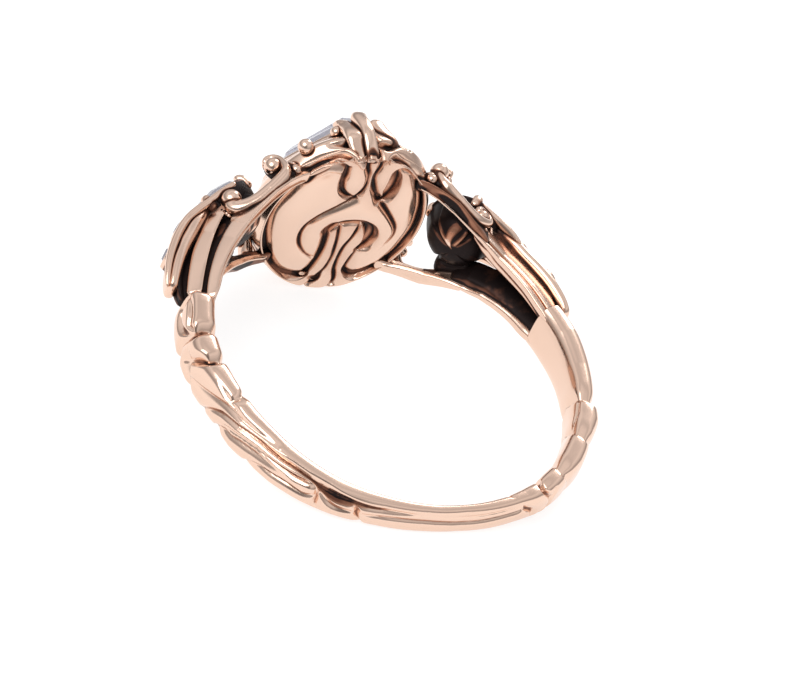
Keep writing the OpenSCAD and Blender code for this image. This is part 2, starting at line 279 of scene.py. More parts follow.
def carve(x, y, lines):
    """Depth of the carving at chart points, the deepest of all lines. Past a line's half width the
    depth falls as (1 - d)^2 over a rounding for each of its sides.
    line columns: x, y, half width, depth; line values: left rounding, right rounding."""
    deep = np.zeros(x.shape)
    for rows, left, right in lines:
        path = smooth_path(rows, 10 * len(rows))
        reach = max(left, right) + path[:, 2].max()
        low, high = path[:, :2].min(0) - reach, path[:, :2].max(0) + reach
        here = (x > low[0]) & (x < high[0]) & (y > low[1]) & (y < high[1])
        d, side, where = nearest(x[here], y[here], path)
        half, depth = (np.interp(where, np.arange(len(path)), path[:, c]) for c in (2, 3))
        share = np.clip((d - half) / np.where(side > 0, left, right), 0, 1)
        deep[here] = np.maximum(deep[here], depth * (1 - share) ** 2)
    return deep


# Cell of the fine grid, and the depth of a long line whose middle comes to 1 - 1 / e of the full hollow
SOFT_CELL = 0.025
SOFT_DEPTH = 0.25


def soften(x, y, lines, size, depth):
    """Broad soft hollow round the lines, so that the metal between them swells: the lines, drawn on a
    fine grid with their depths, are blurred by exp(-(size k)^2 / 2) and read at the chart points."""
    low = np.array([x.min(), y.min()]) - 3 * size
    high = np.array([x.max(), y.max()]) + 3 * size
    count = (np.ceil((high - low) / SOFT_CELL).astype(int) // 2 + 1) * 2
    drawn = np.zeros(count)
    for rows, *_ in lines:
        path = smooth_path(rows, 40 * len(rows))
        step = np.gradient(path[:, :2], axis=0)
        weight = path[:, 3] * np.hypot(*step.T) / SOFT_CELL ** 2
        spot = ((path[:, :2] - low) / SOFT_CELL).astype(int)
        inside = np.all((spot > 0) & (spot < count), axis=1)
        np.add.at(drawn, tuple(spot[inside].T), weight[inside])
    k = np.meshgrid(2 * np.pi * np.fft.fftfreq(count[0], SOFT_CELL),
                    2 * np.pi * np.fft.rfftfreq(count[1], SOFT_CELL), indexing="ij", sparse=True)
    blur = np.exp(-size ** 2 * (k[0] ** 2 + k[1] ** 2) / 2)
    blurred = np.fft.irfft2(np.fft.rfft2(drawn) * blur, s=tuple(count))
    blurred = 1 - np.exp(-blurred * size * np.sqrt(2 * np.pi) / SOFT_DEPTH)
    at = np.stack([(x - low[0]) / SOFT_CELL, (y - low[1]) / SOFT_CELL])
    base = np.floor(at).astype(int)
    (i, j), (u, v) = base, at - base
    return depth * ((1 - u) * (1 - v) * blurred[i, j] + u * (1 - v) * blurred[i + 1, j]
                    + (1 - u) * v * blurred[i, j + 1] + u * v * blurred[i + 1, j + 1])


def flipped(lines):
    """Carved lines reflected in their second column, so that their two roundings change places."""
    return [([[x, -y, half, depth] for x, y, half, depth in rows], right, left)
            for rows, left, right in lines]


def surface_normals(points):
    """Unit normals of a grid of points, from the cross product of its two slopes."""
    return unit(np.cross(np.gradient(points, axis=0), np.gradient(points, axis=1)))


# Head
def head_outline(angle, u):
    """Distance of the head's wall from its middle: low down an oval, 1 / sqrt((c / W)^2 + (s / L)^2), which
    turns into a lozenge with cut flanks at the rim, ((c / W)^9 + ((slope c + s) / L)^9)^(-1 / 9), and
    swells between the two."""
    c, s = np.abs(np.cos(angle)), np.abs(np.sin(angle))
    oval = 1 / np.hypot(c / LIP_W, s / LIP_L)
    lozenge = ((c / RIM_W) ** RIM_POWER + ((RIM_SLOPE * c + s) / RIM_L) ** RIM_POWER) ** (-1 / RIM_POWER)
    share = ease(OVAL_TO_U, LOZENGE_FROM_U, u)
    height = np.clip((u - LIP_U - LIP_ROUND) / (RIM_U - LIP_U - LIP_ROUND), 0, 1)
    return (1 - share) * oval + share * lozenge + WALL_SWELL * 4 * height * (1 - height)


def head_round(angle, radius, u):
    """Point at an angle round the head's own axis, a distance from it and one from the finger axis."""
    return np.stack(np.broadcast_arrays(radius * np.cos(angle), u, radius * np.sin(angle)), -1)


# Lines on the carved back and, past the lip, on the wall
# columns: across, along the finger, half width, depth; then left and right rounding
HEAD_LINES = [
    ([[-1.05, 3.4, 0.07, 0.24], [-1.5, 3.65, 0.1, 0.28], [-2.1, 3.67, 0.12, 0.3], [-2.65, 3.25, 0.12, 0.3],
      [-3.1, 2.5, 0.1, 0.32], [-3.4, 1.6, 0.09, 0.32], [-3.62, 0.8, 0.08, 0.3], [-3.7, 0.1, 0.08, 0.3],
      [-3.52, -0.9, 0.07, 0.3], [-3.2, -1.85, 0.07, 0.3], [-2.7, -2.8, 0.08, 0.3],
      [-2.1, -3.45, 0.08, 0.27], [-1.5, -3.75, 0.1, 0.28], [-0.9, -3.8, 0.1, 0.28],
      [-0.5, -3.5, 0.08, 0.26], [-0.32, -2.8, 0.06, 0.25], [-0.3, -2.0, 0.06, 0.25],
      [-0.4, -1.2, 0.07, 0.26], [-0.48, -0.8, 0.09, 0.28], [-0.3, -0.48, 0.1, 0.3]], 0.42, 0.14),
    ([[-0.48, -0.8, 0.08, 0.28], [-0.3, -0.48, 0.09, 0.3], [0.1, -0.17, 0.08, 0.3],
      [0.63, -0.05, 0.06, 0.28], [1.1, -0.15, 0.08, 0.3], [1.54, -0.5, 0.16, 0.4], [1.75, -1.0, 0.2, 0.44],
      [1.7, -1.45, 0.17, 0.42], [1.45, -1.85, 0.1, 0.34]], 0.26, 0.22),
    ([[1.45, -1.85, 0.06, 0.26], [1.3, -2.3, 0.05, 0.22], [1.25, -2.8, 0.05, 0.24],
      [1.27, -3.25, 0.06, 0.26], [1.58, -3.52, 0.09, 0.28], [2.0, -3.43, 0.09, 0.28],
      [2.5, -3.03, 0.08, 0.27], [3.0, -2.43, 0.07, 0.28], [3.34, -1.74, 0.06, 0.28],
      [3.54, -0.92, 0.06, 0.28], [3.67, -0.1, 0.07, 0.29], [3.62, 0.8, 0.09, 0.32], [3.46, 1.57, 0.1, 0.33],
      [3.13, 2.34, 0.09, 0.32], [2.65, 3.08, 0.08, 0.27], [2.3, 3.5, 0.06, 0.25]], 0.44, 0.14),
    ([[0.05, 1.5, 0.05, 0.24], [-0.5, 1.0, 0.05, 0.24], [-1.05, 0.5, 0.05, 0.24], [-1.45, 0.0, 0.05, 0.24],
      [-1.7, -0.5, 0.05, 0.24], [-1.75, -1.1, 0.04, 0.22], [-1.57, -1.7, 0.03, 0.18],
      [-1.2, -2.15, 0.02, 0.13], [-0.8, -2.45, 0.02, 0.12], [-0.47, -2.58, 0.02, 0.1]], 0.3, 0.2),
    ([[2.3, -1.75, 0.02, 0.04], [2.6, -1.15, 0.02, 0.08], [2.75, -0.6, 0.02, 0.13], [2.6, -0.1, 0.03, 0.18],
      [2.1, 0.55, 0.04, 0.2], [1.5, 1.2, 0.05, 0.22], [1.0, 1.75, 0.05, 0.22], [0.62, 2.4, 0.06, 0.24],
      [0.47, 3.0, 0.05, 0.24], [0.53, 3.7, 0.05, 0.24], [0.45, 4.05, 0.05, 0.22], [0.31, 4.4, 0.05, 0.22],
      [0.25, 4.7, 0.06, 0.26], [0.25, 5.15, 0.07, 0.3], [0.25, 5.65, 0.08, 0.32], [0.33, 6.3, 0.09, 0.32],
      [0.42, 7.0, 0.1, 0.32]], 0.22, 0.26),
    ([[0.0, -0.4, 0.03, 0.2], [0.17, -1.15, 0.03, 0.18], [0.3, -1.95, 0.03, 0.18], [0.38, -2.5, 0.03, 0.18],
      [0.33, -3.15, 0.04, 0.18], [0.12, -3.65, 0.04, 0.18], [-0.2, -4.1, 0.03, 0.12],
      [-0.46, -4.45, 0.03, 0.1], [-0.62, -5.3, 0.06, 0.2], [-0.75, -5.9, 0.07, 0.24],
      [-0.78, -6.9, 0.08, 0.26]], 0.2, 0.2),
    ([[1.0, -0.2, 0.05, 0.24], [0.9, -1.0, 0.05, 0.22], [0.72, -1.7, 0.04, 0.2], [0.7, -2.4, 0.04, 0.2],
      [0.77, -3.2, 0.04, 0.2], [0.95, -3.85, 0.04, 0.2], [0.75, -4.3, 0.03, 0.1], [0.4, -4.8, 0.03, 0.1],
      [0.4, -5.3, 0.06, 0.22], [0.35, -6.0, 0.08, 0.24], [0.25, -6.9, 0.08, 0.26]], 0.2, 0.2),
    ([[-1.05, 3.4, 0.08, 0.26], [-1.0, 2.92, 0.1, 0.28], [-0.97, 2.48, 0.08, 0.26], [-0.8, 2.0, 0.06, 0.24],
      [-0.47, 1.68, 0.05, 0.24], [-0.08, 1.53, 0.05, 0.24], [0.17, 1.9, 0.05, 0.22], [0.28, 2.4, 0.04, 0.2],
      [0.2, 2.95, 0.04, 0.2], [-0.06, 3.5, 0.05, 0.22], [-0.2, 4.0, 0.05, 0.24],
      [-0.45, 4.5, 0.06, 0.26], [-0.55, 5.0, 0.07, 0.3], [-0.6, 5.4, 0.08, 0.32],
      [-0.7, 5.9, 0.08, 0.32], [-0.78, 6.6, 0.09, 0.32], [-0.87, 7.3, 0.1, 0.32]], 0.22, 0.22),
    ([[1.0, 1.75, 0.05, 0.24], [1.3, 1.42, 0.1, 0.34], [1.5, 1.7, 0.17, 0.42], [1.6, 2.24, 0.2, 0.46],
      [1.56, 2.83, 0.16, 0.42], [1.44, 3.35, 0.08, 0.28], [1.6, 3.62, 0.06, 0.26], [1.98, 3.6, 0.06, 0.26],
      [2.35, 3.35, 0.06, 0.26], [2.65, 3.08, 0.08, 0.27]], 0.24, 0.24),
]
# Lines of the wall at each end of the head
END_LINES = [
    ([[-0.1, 3.68, 0.03, 0.18], [-0.25, 3.78, 0.04, 0.2], [-0.57, 4.0, 0.05, 0.24],
      [-0.98, 4.26, 0.07, 0.28], [-1.25, 4.38, 0.09, 0.32], [-1.55, 4.48, 0.1, 0.34],
      [-1.9, 4.43, 0.09, 0.32], [-2.26, 4.27, 0.07, 0.3], [-2.7, 4.0, 0.06, 0.26], [-3.0, 3.7, 0.05, 0.26],
      [-3.3, 3.3, 0.05, 0.24]], 0.34, 0.3),
    ([[-0.3, 4.1, 0.03, 0.16], [-0.52, 4.37, 0.05, 0.22], [-0.66, 4.68, 0.07, 0.26],
      [-0.78, 4.93, 0.08, 0.3], [-0.98, 5.12, 0.09, 0.32], [-1.27, 5.25, 0.07, 0.3],
      [-1.55, 5.2, 0.05, 0.24], [-1.9, 5.1, 0.03, 0.14], [-2.4, 4.98, 0.02, 0.08]], 0.3, 0.34),
    ([[0.53, 3.7, 0.04, 0.2], [0.63, 3.95, 0.05, 0.22], [0.76, 4.22, 0.06, 0.26], [1.07, 4.5, 0.09, 0.32],
      [1.47, 4.62, 0.1, 0.34], [1.97, 4.5, 0.09, 0.32], [2.4, 4.2, 0.07, 0.28], [2.67, 3.9, 0.05, 0.24],
      [3.1, 3.4, 0.04, 0.2]], 0.3, 0.34),
    ([[0.3, 5.9, 0.05, 0.26], [0.5, 5.5, 0.1, 0.32], [0.78, 5.36, 0.13, 0.36], [1.15, 5.36, 0.12, 0.36],
      [1.6, 5.4, 0.07, 0.28], [2.1, 5.35, 0.04, 0.2], [2.7, 5.0, 0.03, 0.12]], 0.3, 0.3),
    ([[-1.75, 6.0, 0.05, 0.24], [-1.55, 6.25, 0.12, 0.34], [-1.5, 6.5, 0.14, 0.36], [-1.6, 6.65, 0.1, 0.3]],
     0.15, 0.15),
]
HEAD_LINES += END_LINES + flipped(END_LINES[3:])

# Size and depth of the soft hollow round the lines of the back, how much less deep it comes to be on the
# wall, between two chart radii, and the painted shade in its middle
SWELL_SIZE = 0.42
BACK_SWELL = 0.36
WALL_LESS = 0.13
WALL_LESS_FROM = 3.6
WALL_LESS_FULL = 4.4
HEAD_SHADE = 0.24


def head_chart(angle, s):
    """Point of the head's outer skin at a chart radius s: the flat back, a quarter circle round the lip,
    then the wall, where s grows with the height."""
    flat = head_outline(angle, LIP_U) - LIP_ROUND
    bend = np.clip((s - flat) / LIP_ROUND, 0, np.pi / 2)
    height = LIP_U + LIP_ROUND * (1 - np.cos(bend)) + np.maximum(s - flat - LIP_ROUND * np.pi / 2, 0)
    on_wall = s > flat + LIP_ROUND * np.pi / 2
    radius = np.where(on_wall, head_outline(angle, height), np.minimum(s, flat) + LIP_ROUND * np.sin(bend))
    return head_round(angle, radius, height)


def head_skin(angle, s):
    """The head's outer skin with its carving cut in along the normals, and its painted shade, which grows
    with the square of the soft hollow round the lines."""
    base = head_chart(angle, s)
    normal = surface_normals(base)
    normal *= np.sign(np.sum(normal * (base - HEAD_MIDDLE), axis=-1, keepdims=True))
    x, y = s * np.cos(angle), s * np.sin(angle)
    hollow = soften(x, y, HEAD_LINES, SWELL_SIZE, 1.0)
    swell = BACK_SWELL - WALL_LESS * ease(WALL_LESS_FROM, WALL_LESS_FULL, s)
    deep = carve(x, y, HEAD_LINES) + hollow * swell
    return base - normal * deep[..., None], HEAD_SHADE * hollow ** 2


def head_back():
    """Carved back plate: the skin from its middle to a seam low on the wall."""
    angle = full_turn(HEAD_STEPS)[None]
    flat = head_outline(angle, LIP_U) - LIP_ROUND
    turn = LIP_ROUND * np.pi / 2
    face = np.linspace(0.004, 1, 96)[:, None] * flat
    lip = flat + turn * np.linspace(0, 1, 11)[1:, None]
    wall = flat + turn + (SEAM_U - LIP_U - LIP_ROUND) * np.linspace(0, 1, 16)[1:, None]
    s = np.vstack([face, lip, wall])
    skin, stain = head_skin(np.broadcast_to(angle, s.shape), s)
    return grid(skin, stain)


def head_wall():
    """Cup above the seam: the carved wall, a rim rounded as a half circle, and a plain inside below the
    stone, which is the rim's inner outline made smaller."""
    angle = full_turn(HEAD_STEPS)[None]
    flat = head_outline(angle, LIP_U) - LIP_ROUND
    start = flat + LIP_ROUND * np.pi / 2 + SEAM_U - LIP_U - LIP_ROUND
    round_rim = RIM_WALL / 2
    s = start + (RIM_U - round_rim - SEAM_U) * np.linspace(0, 1, 58)[:, None]
    outer, stain = head_skin(np.broadcast_to(angle, s.shape), s)
    bend = np.linspace(0, np.pi, 12)[1:, None]
    radius = head_outline(angle, RIM_U - round_rim) - round_rim * (1 - np.cos(bend))
    rim = head_round(angle, radius, RIM_U - round_rim + round_rim * np.sin(bend))
    radius = head_outline(angle, RIM_U) - RIM_WALL
    inside = [head_round(angle, share * radius, u) for u, share in HEAD_INSIDE]
    rows = np.concatenate([outer, rim, *inside])
    stain = np.vstack([stain, np.zeros((len(rows) - len(outer), HEAD_STEPS))])
    return grid(rows, stain)


# Strands on the head's wall and rim, for each end of the head
# columns: chart across, chart along the finger, half width, thickness, height out of the wall
HEAD_STRANDS = [
    [[-0.03, 4.35, 0.24, 0.1, -0.5], [-0.06, 4.7, 0.3, 0.14, -0.42], [-0.12, 5.05, 0.33, 0.19, -0.33],
     [-0.2, 5.5, 0.33, 0.24, -0.2], [-0.28, 6.1, 0.34, 0.28, -0.08], [-0.34, 6.7, 0.36, 0.3, -0.02],
     [-0.41, 7.15, 0.38, 0.3, -0.06], [-0.44, 7.33, 0.38, 0.28, -0.3], [-0.44, 7.3, 0.36, 0.24, -0.55]],
    [[-0.7, 4.45, 0.2, 0.1, -0.5], [-0.82, 4.8, 0.28, 0.14, -0.42], [-0.94, 5.2, 0.38, 0.19, -0.33],
     [-1.03, 5.6, 0.45, 0.24, -0.22], [-1.1, 6.05, 0.49, 0.27, -0.12], [-1.18, 6.55, 0.47, 0.29, -0.05],
     [-1.42, 6.93, 0.4, 0.27, 0.0], [-1.82, 7.03, 0.3, 0.23, 0.02], [-2.1, 6.8, 0.2, 0.2, 0.02]],
    [[2.1, 5.5, 0.24, 0.14, -0.35], [1.82, 5.82, 0.34, 0.22, -0.22], [1.52, 6.2, 0.42, 0.3, -0.08],
     [1.28, 6.6, 0.43, 0.33, 0.04], [1.18, 6.95, 0.39, 0.32, 0.09], [1.25, 7.2, 0.3, 0.26, 0.02]],
]
# columns: chart across, chart along the finger, radius, height out of the wall
HEAD_BALLS = [[-2.05, 6.35, 0.29, 0.08], [-3.5, 4.26, 0.37, 0.2]]
# How much deeper they lie at the far end, which stays clear of the floor
FAR_SINK = 0.26
# Rows along a strand, points round it, and the power of its section
STRAND_ROWS = 60
STRAND_SIDES = 28
STRAND_POWER = 2.4
# The strands face away from this point, with this much less of it across the head and along the finger
STRAND_FROM = [0, 10.0, 0]
STRAND_LESS = [0.8, 0, 0.6]


def head_point(x, y, out):
    """Point over the head's wall at a place in its chart, a height out of it along the wall's direction,
    which is at right angles to its two slopes."""
    angle, s = np.arctan2(y, x), np.hypot(x, y)
    turn, climb = 0.01, 0.02
    side = unit(head_chart(angle + turn, s) - head_chart(angle - turn, s))
    rise = unit(head_chart(angle, s + climb) - head_chart(angle, s - climb))
    point = head_chart(angle, s)
    normal = np.cross(side, rise)
    normal *= np.sign(np.sum(normal * point * [1, 0, 1], axis=-1, keepdims=True))
    return point + np.asarray(out)[..., None] * normal


def head_rim():
    """Strap, curls and balls that stand on the wall and over the rim, at both ends of the head."""
    shapes = []
    for end, sink in ((1, 0.0), (-1, FAR_SINK)):
        for rows in HEAD_STRANDS:
            x, y, wide, high, out = smooth_path(rows, STRAND_ROWS).T
            path = head_point(x, y, out - sink)
            up = path - STRAND_FROM - path * STRAND_LESS
            shapes.append(mirrored(sweep(path, up, wide, high, STRAND_SIDES, STRAND_POWER), 1, end))
        for x, y, radius, out in HEAD_BALLS:
            middle = head_point(np.array(x), np.array(y), out - sink)
            shapes.append(mirrored(ball(middle, radius), 1, end))
    return joined(shapes)


# Shank
def shank_section(count):
    """Places round the section, evenly spaced along a rounded oblong of the shank's mean shape."""
    flatness = 0.6
    t = np.linspace(-np.pi / 2, 1.5 * np.pi, 4001)
    a, b = rounded(t, SHANK_POWER)
    reach = np.concatenate([[0], np.cumsum(np.hypot(np.diff(a), np.diff(flatness * b)))])
    return np.interp(np.arange(count) / count * reach[-1], reach, t)


# Leaves and knuckles of the shank
# columns: angle, distance from the crest towards +z, half width, depth; then left and right rounding
SHANK_LINES = [
    ([[289.6, -2.6, 0.02, 0.3], [289.6, 0.0, 0.02, 0.34], [289.8, 1.2, 0.02, 0.34],
      [289.8, 2.6, 0.02, 0.3]], 0.6, 0.6),
    ([[275.3, -0.35, 0.02, 0.06], [274.9, -0.08, 0.04, 0.2], [274.1, 0.3, 0.05, 0.3],
      [273.1, 0.75, 0.06, 0.34], [273.1, 1.1, 0.06, 0.34], [273.6, 1.5, 0.06, 0.32],
      [274.0, 1.85, 0.05, 0.28], [274.2, 2.5, 0.05, 0.22]], 0.36, 0.5),
    ([[270.2, -0.4, 0.02, 0.02], [268.9, -0.14, 0.04, 0.16], [266.9, 0.22, 0.05, 0.28],
      [265.2, 0.55, 0.06, 0.34], [263.6, 0.95, 0.06, 0.36], [262.8, 1.25, 0.06, 0.36],
      [262.8, 1.5, 0.06, 0.32], [263.2, 1.85, 0.05, 0.26], [263.4, 2.5, 0.05, 0.2]], 0.3, 0.5),
    ([[274.9, -0.1, 0.02, 0.14], [274.8, -0.4, 0.03, 0.13], [273.6, -0.56, 0.03, 0.1],
      [272.4, -0.6, 0.02, 0.03]], 0.12, 0.16),
    ([[286.9, 0.92, 0.03, 0.14], [285.4, 0.5, 0.09, 0.3], [284.4, 0.12, 0.12, 0.34],
      [282.0, -0.02, 0.11, 0.32], [279.0, 0.02, 0.09, 0.28], [276.8, 0.2, 0.08, 0.26],
      [275.0, 0.42, 0.06, 0.24]], 0.26, 0.3),
    ([[286.6, 0.9, 0.02, 0.08], [284.0, 1.05, 0.03, 0.12], [281.1, 1.06, 0.03, 0.14],
      [279.1, 0.99, 0.03, 0.15], [277.7, 0.87, 0.03, 0.16], [276.3, 0.78, 0.03, 0.18],
      [274.9, 0.9, 0.03, 0.2]], 0.2, 0.4),
    ([[230.4, 1.14, 0.02, 0.05], [236.0, 1.05, 0.03, 0.12], [240.7, 0.94, 0.04, 0.17],
      [245.5, 0.82, 0.04, 0.19], [250.8, 0.52, 0.04, 0.18], [255.0, 0.26, 0.03, 0.15],
      [258.5, 0.03, 0.02, 0.13], [261.6, -0.15, 0.02, 0.1], [264.6, -0.35, 0.02, 0.06],
      [267.0, -0.7, 0.02, 0.02]], 0.14, 0.5),
    ([[255.0, 1.04, 0.02, 0.03], [252.0, 0.95, 0.03, 0.08], [250.2, 0.91, 0.04, 0.11],
      [246.3, 0.93, 0.04, 0.13], [243.2, 0.96, 0.04, 0.14], [240.4, 1.0, 0.03, 0.13],
      [237.5, 1.06, 0.03, 0.12], [233.9, 1.14, 0.02, 0.09], [231.0, 1.2, 0.02, 0.05]], 0.2, 0.3),
    ([[251.2, 2.6, 0.02, 0.06], [250.0, 1.9, 0.03, 0.12], [249.0, 1.45, 0.03, 0.14],
      [249.2, 1.0, 0.03, 0.14]], 0.3, 0.5),
    ([[186.5, 0.42, 0.02, 0.05], [190.9, 0.42, 0.03, 0.1], [195.4, 0.4, 0.05, 0.14],
      [199.7, 0.38, 0.06, 0.16], [203.9, 0.4, 0.09, 0.2], [208.1, 0.46, 0.17, 0.25],
      [211.5, 0.54, 0.23, 0.28], [214.5, 0.66, 0.23, 0.28], [217.2, 0.8, 0.14, 0.26],
      [219.5, 0.88, 0.08, 0.24], [223.7, 0.92, 0.06, 0.22], [228.5, 0.84, 0.05, 0.22],
      [232.4, 0.75, 0.05, 0.22], [236.1, 0.68, 0.05, 0.22], [241.8, 0.5, 0.05, 0.22],
      [246.9, 0.24, 0.04, 0.2], [250.0, 0.0, 0.04, 0.18], [254.0, -0.5, 0.03, 0.14],
      [257.0, -1.1, 0.03, 0.1]], 0.18, 0.25),
    ([[214.9, -0.45, 0.03, 0.14], [215.4, 0.11, 0.04, 0.2], [216.3, 0.4, 0.04, 0.22],
      [217.7, 0.53, 0.04, 0.22], [220.0, 0.5, 0.05, 0.24], [223.0, 0.42, 0.06, 0.24],
      [228.4, 0.36, 0.05, 0.22], [234.0, 0.27, 0.03, 0.16], [240.1, 0.12, 0.03, 0.14],
      [244.5, -0.07, 0.03, 0.12], [247.2, -0.3, 0.03, 0.1]], 0.16, 0.3),
    ([[224.0, 0.2, 0.02, 0.05], [230.0, 0.1, 0.03, 0.14], [233.8, 0.02, 0.03, 0.18],
      [239.8, -0.14, 0.04, 0.2], [243.5, -0.34, 0.04, 0.2], [246.6, -0.46, 0.03, 0.18],
      [249.5, -0.85, 0.03, 0.14], [251.0, -1.3, 0.03, 0.1]], 0.18, 0.4),
    ([[216.0, -0.02, 0.03, 0.14], [218.9, -0.2, 0.04, 0.18], [223.9, -0.2, 0.05, 0.22],
      [227.1, -0.26, 0.05, 0.22], [230.4, -0.35, 0.04, 0.2], [232.4, -0.42, 0.03, 0.16],
      [235.5, -0.7, 0.03, 0.12], [238.0, -1.2, 0.03, 0.08]], 0.16, 0.35),
    ([[201.6, -0.8, 0.02, 0.1], [202.6, -0.5, 0.03, 0.16], [203.5, -0.2, 0.04, 0.2],
      [203.8, 0.05, 0.04, 0.2], [205.8, 0.33, 0.03, 0.15], [208.0, 0.48, 0.03, 0.1]], 0.2, 0.3),
    ([[204.8, -0.12, 0.02, 0.08], [208.6, -0.14, 0.04, 0.16], [211.5, -0.02, 0.05, 0.18],
      [214.6, 0.3, 0.04, 0.16]], 0.22, 0.22),
    ([[151.9, 0.3, 0.03, 0.1], [153.0, 0.1, 0.04, 0.16], [157.0, 0.08, 0.04, 0.14],
      [160.9, 0.05, 0.04, 0.14], [166.5, -0.02, 0.04, 0.13], [173.0, -0.05, 0.04, 0.13],
      [178.4, 0.0, 0.04, 0.13], [184.3, 0.03, 0.04, 0.13], [190.0, 0.03, 0.04, 0.13],
      [194.2, 0.0, 0.04, 0.12], [198.0, -0.06, 0.03, 0.1], [202.0, -0.1, 0.02, 0.06]], 0.16, 0.2),
    ([[153.0, 0.53, 0.01, 0.03], [158.1, 0.5, 0.02, 0.05], [163.8, 0.43, 0.02, 0.06],
      [171.1, 0.36, 0.02, 0.05], [178.5, 0.38, 0.02, 0.03], [186.0, 0.45, 0.01, 0.02]], 0.15, 0.15),
    ([[147.0, -0.5, 0.03, 0.1], [148.0, -0.2, 0.04, 0.18], [150.5, 0.05, 0.04, 0.18],
      [152.0, 0.33, 0.03, 0.1]], 0.3, 0.14),
    ([[156.4, 1.75, 0.03, 0.12], [155.9, 1.35, 0.03, 0.1], [155.4, 1.15, 0.02, 0.04]], 0.15, 0.2),
    ([[142.0, 2.2, 0.05, 0.2], [142.6, 1.75, 0.06, 0.24], [143.9, 1.3, 0.06, 0.26],
      [144.4, 0.9, 0.06, 0.26], [143.2, 0.55, 0.05, 0.22], [141.0, 0.1, 0.04, 0.16],
      [140.0, -0.6, 0.04, 0.14]], 0.18, 0.14),
    ([[131.8, 2.4, 0.03, 0.1], [132.6, 2.03, 0.03, 0.14], [134.1, 1.52, 0.04, 0.16],
      [134.8, 1.15, 0.04, 0.16], [134.6, 0.85, 0.04, 0.16], [132.5, 0.2, 0.04, 0.07],
      [131.8, -0.6, 0.03, 0.05]], 0.2, 0.9),
    ([[116.2, 2.5, 0.02, 0.08], [116.9, 2.12, 0.03, 0.12], [117.9, 1.75, 0.03, 0.14],
      [118.4, 1.35, 0.03, 0.14], [118.6, 1.0, 0.03, 0.14], [117.0, 0.3, 0.03, 0.06],
      [116.0, -0.6, 0.03, 0.05]], 0.22, 1.0),
    ([[102.4, 2.6, 0.02, 0.1], [102.9, 2.26, 0.03, 0.14], [103.7, 1.9, 0.03, 0.16],
      [103.5, 1.5, 0.04, 0.16], [103.9, 1.0, 0.04, 0.16], [102.5, 0.3, 0.04, 0.07],
      [101.5, -0.6, 0.04, 0.05]], 0.24, 1.1),
    ([[104.5, 1.98, 0.02, 0.07], [109.2, 2.06, 0.02, 0.08], [112.5, 2.11, 0.02, 0.08],
      [116.8, 2.15, 0.02, 0.07]], 0.12, 0.12),
]

# Painted shade in the hollow below the leaves, in two seams of the knuckles and in the first knuckle's
# swirl, in the columns of the lines; the depth is how dark it is painted
SHANK_SHADE = [
    ([[198.0, 0.36, 0.02, 0.4], [204.0, 0.34, 0.1, 0.75], [208.5, 0.4, 0.2, 0.95], [212.0, 0.5, 0.26, 1.0],
      [215.0, 0.64, 0.22, 0.95], [218.0, 0.8, 0.1, 0.75], [222.0, 0.92, 0.02, 0.4]], 0.2, 0.25),
    ([[273.4, 0.5, 0.02, 0.5], [273.4, 1.0, 0.05, 0.8], [273.7, 1.5, 0.03, 0.6]], 0.12, 0.2),
    ([[264.4, 0.7, 0.02, 0.4], [262.9, 1.2, 0.05, 0.7], [263.0, 1.6, 0.03, 0.5]], 0.1, 0.16),
    ([[285.0, 0.4, 0.02, 0.4], [283.0, 0.05, 0.06, 0.7], [279.0, 0.05, 0.05, 0.6],
      [276.0, 0.3, 0.02, 0.4]], 0.15, 0.15),
]

# How much less patina and painted shade the shank gets, and how much less still at its right end, between
# two angles
SHANK_LESS_DARK = 0.3
END_LESS_DARK = 0.6
END_LESS_DARK_FROM = 77
END_LESS_DARK_FULL = 71
# Size and depth of the soft hollow round the lines
SHANK_SWELL_SIZE = 0.25
SHANK_SWELL = 0.08
# Lines that reach this far from the crest are leaf steps, which the far side has too
STEP_REACH = 1.3


def unrolled(lines):
    """Lines of the shank with their angles turned into millimetres along it."""
    return [([[angle * DEGREE, y, half, depth] for angle, y, half, depth in rows], left, right)
            for rows, left, right in lines]


def shank():
    """Shank: a rounded oblong from the finger hole to the crest's radius, carried round the back, with
    its leaves cut in along the normals. The far side face has the same steps, mirrored."""
    angle = np.linspace(SHANK_FIRST, SHANK_LAST, SHANK_ROWS)
    t = shank_section(SHANK_SIDES)
    half, crest = column(SHANK_HALF, angle)[:, None], column(SHANK_TOP, angle)[:, None]
    high = (crest - BORE) / 2
    a, b = rounded(t, SHANK_POWER)
    along, radius = half * a, BORE + high + high * b
    base = at_ring(angle[:, None], radius, along)
    middle = at_ring(angle[:, None], BORE + high, 0 * high)
    normal = surface_normals(base)
    normal *= np.sign(np.sum(normal * (base - middle), axis=-1).mean())
    step = np.hypot(np.diff(along, axis=1), np.diff(radius, axis=1))
    reach = np.concatenate([0 * half, np.cumsum(step, axis=1)], axis=1)
    crest_at = np.argmin(np.abs(t - np.pi / 2))
    across = reach[:, crest_at:crest_at + 1] - reach
    x = np.broadcast_to(angle[:, None] * DEGREE, across.shape)
    lines = unrolled(SHANK_LINES)
    steps = [line for line in lines if max(row[1] for row in line[0]) > STEP_REACH]
    deep = carve(x, across, lines + flipped(steps)) + soften(x, across, lines, SHANK_SWELL_SIZE, SHANK_SWELL)
    # Painted shade in the hollow and seams, less patina and painted shade over the whole shank and its right
    # end, and dark ends
    stain = carve(x, across, unrolled(SHANK_SHADE))
    stain -= SHANK_LESS_DARK + END_LESS_DARK * ease(END_LESS_DARK_FROM, END_LESS_DARK_FULL, angle)[:, None]
    stain[[0, -1]] = 1
    return grid(base - normal * deep[..., None], stain)


# Shoulders
def wall_face(angle, radius, proud=0.0):
    """Point on the outer face of the +x, +z shoulder wall, which leans in by a share of its height."""
    face = column(WALL, angle, 2) - WALL_LEAN * (radius - column(WALL, angle, 1))
    return at_ring(angle, radius, face + proud)


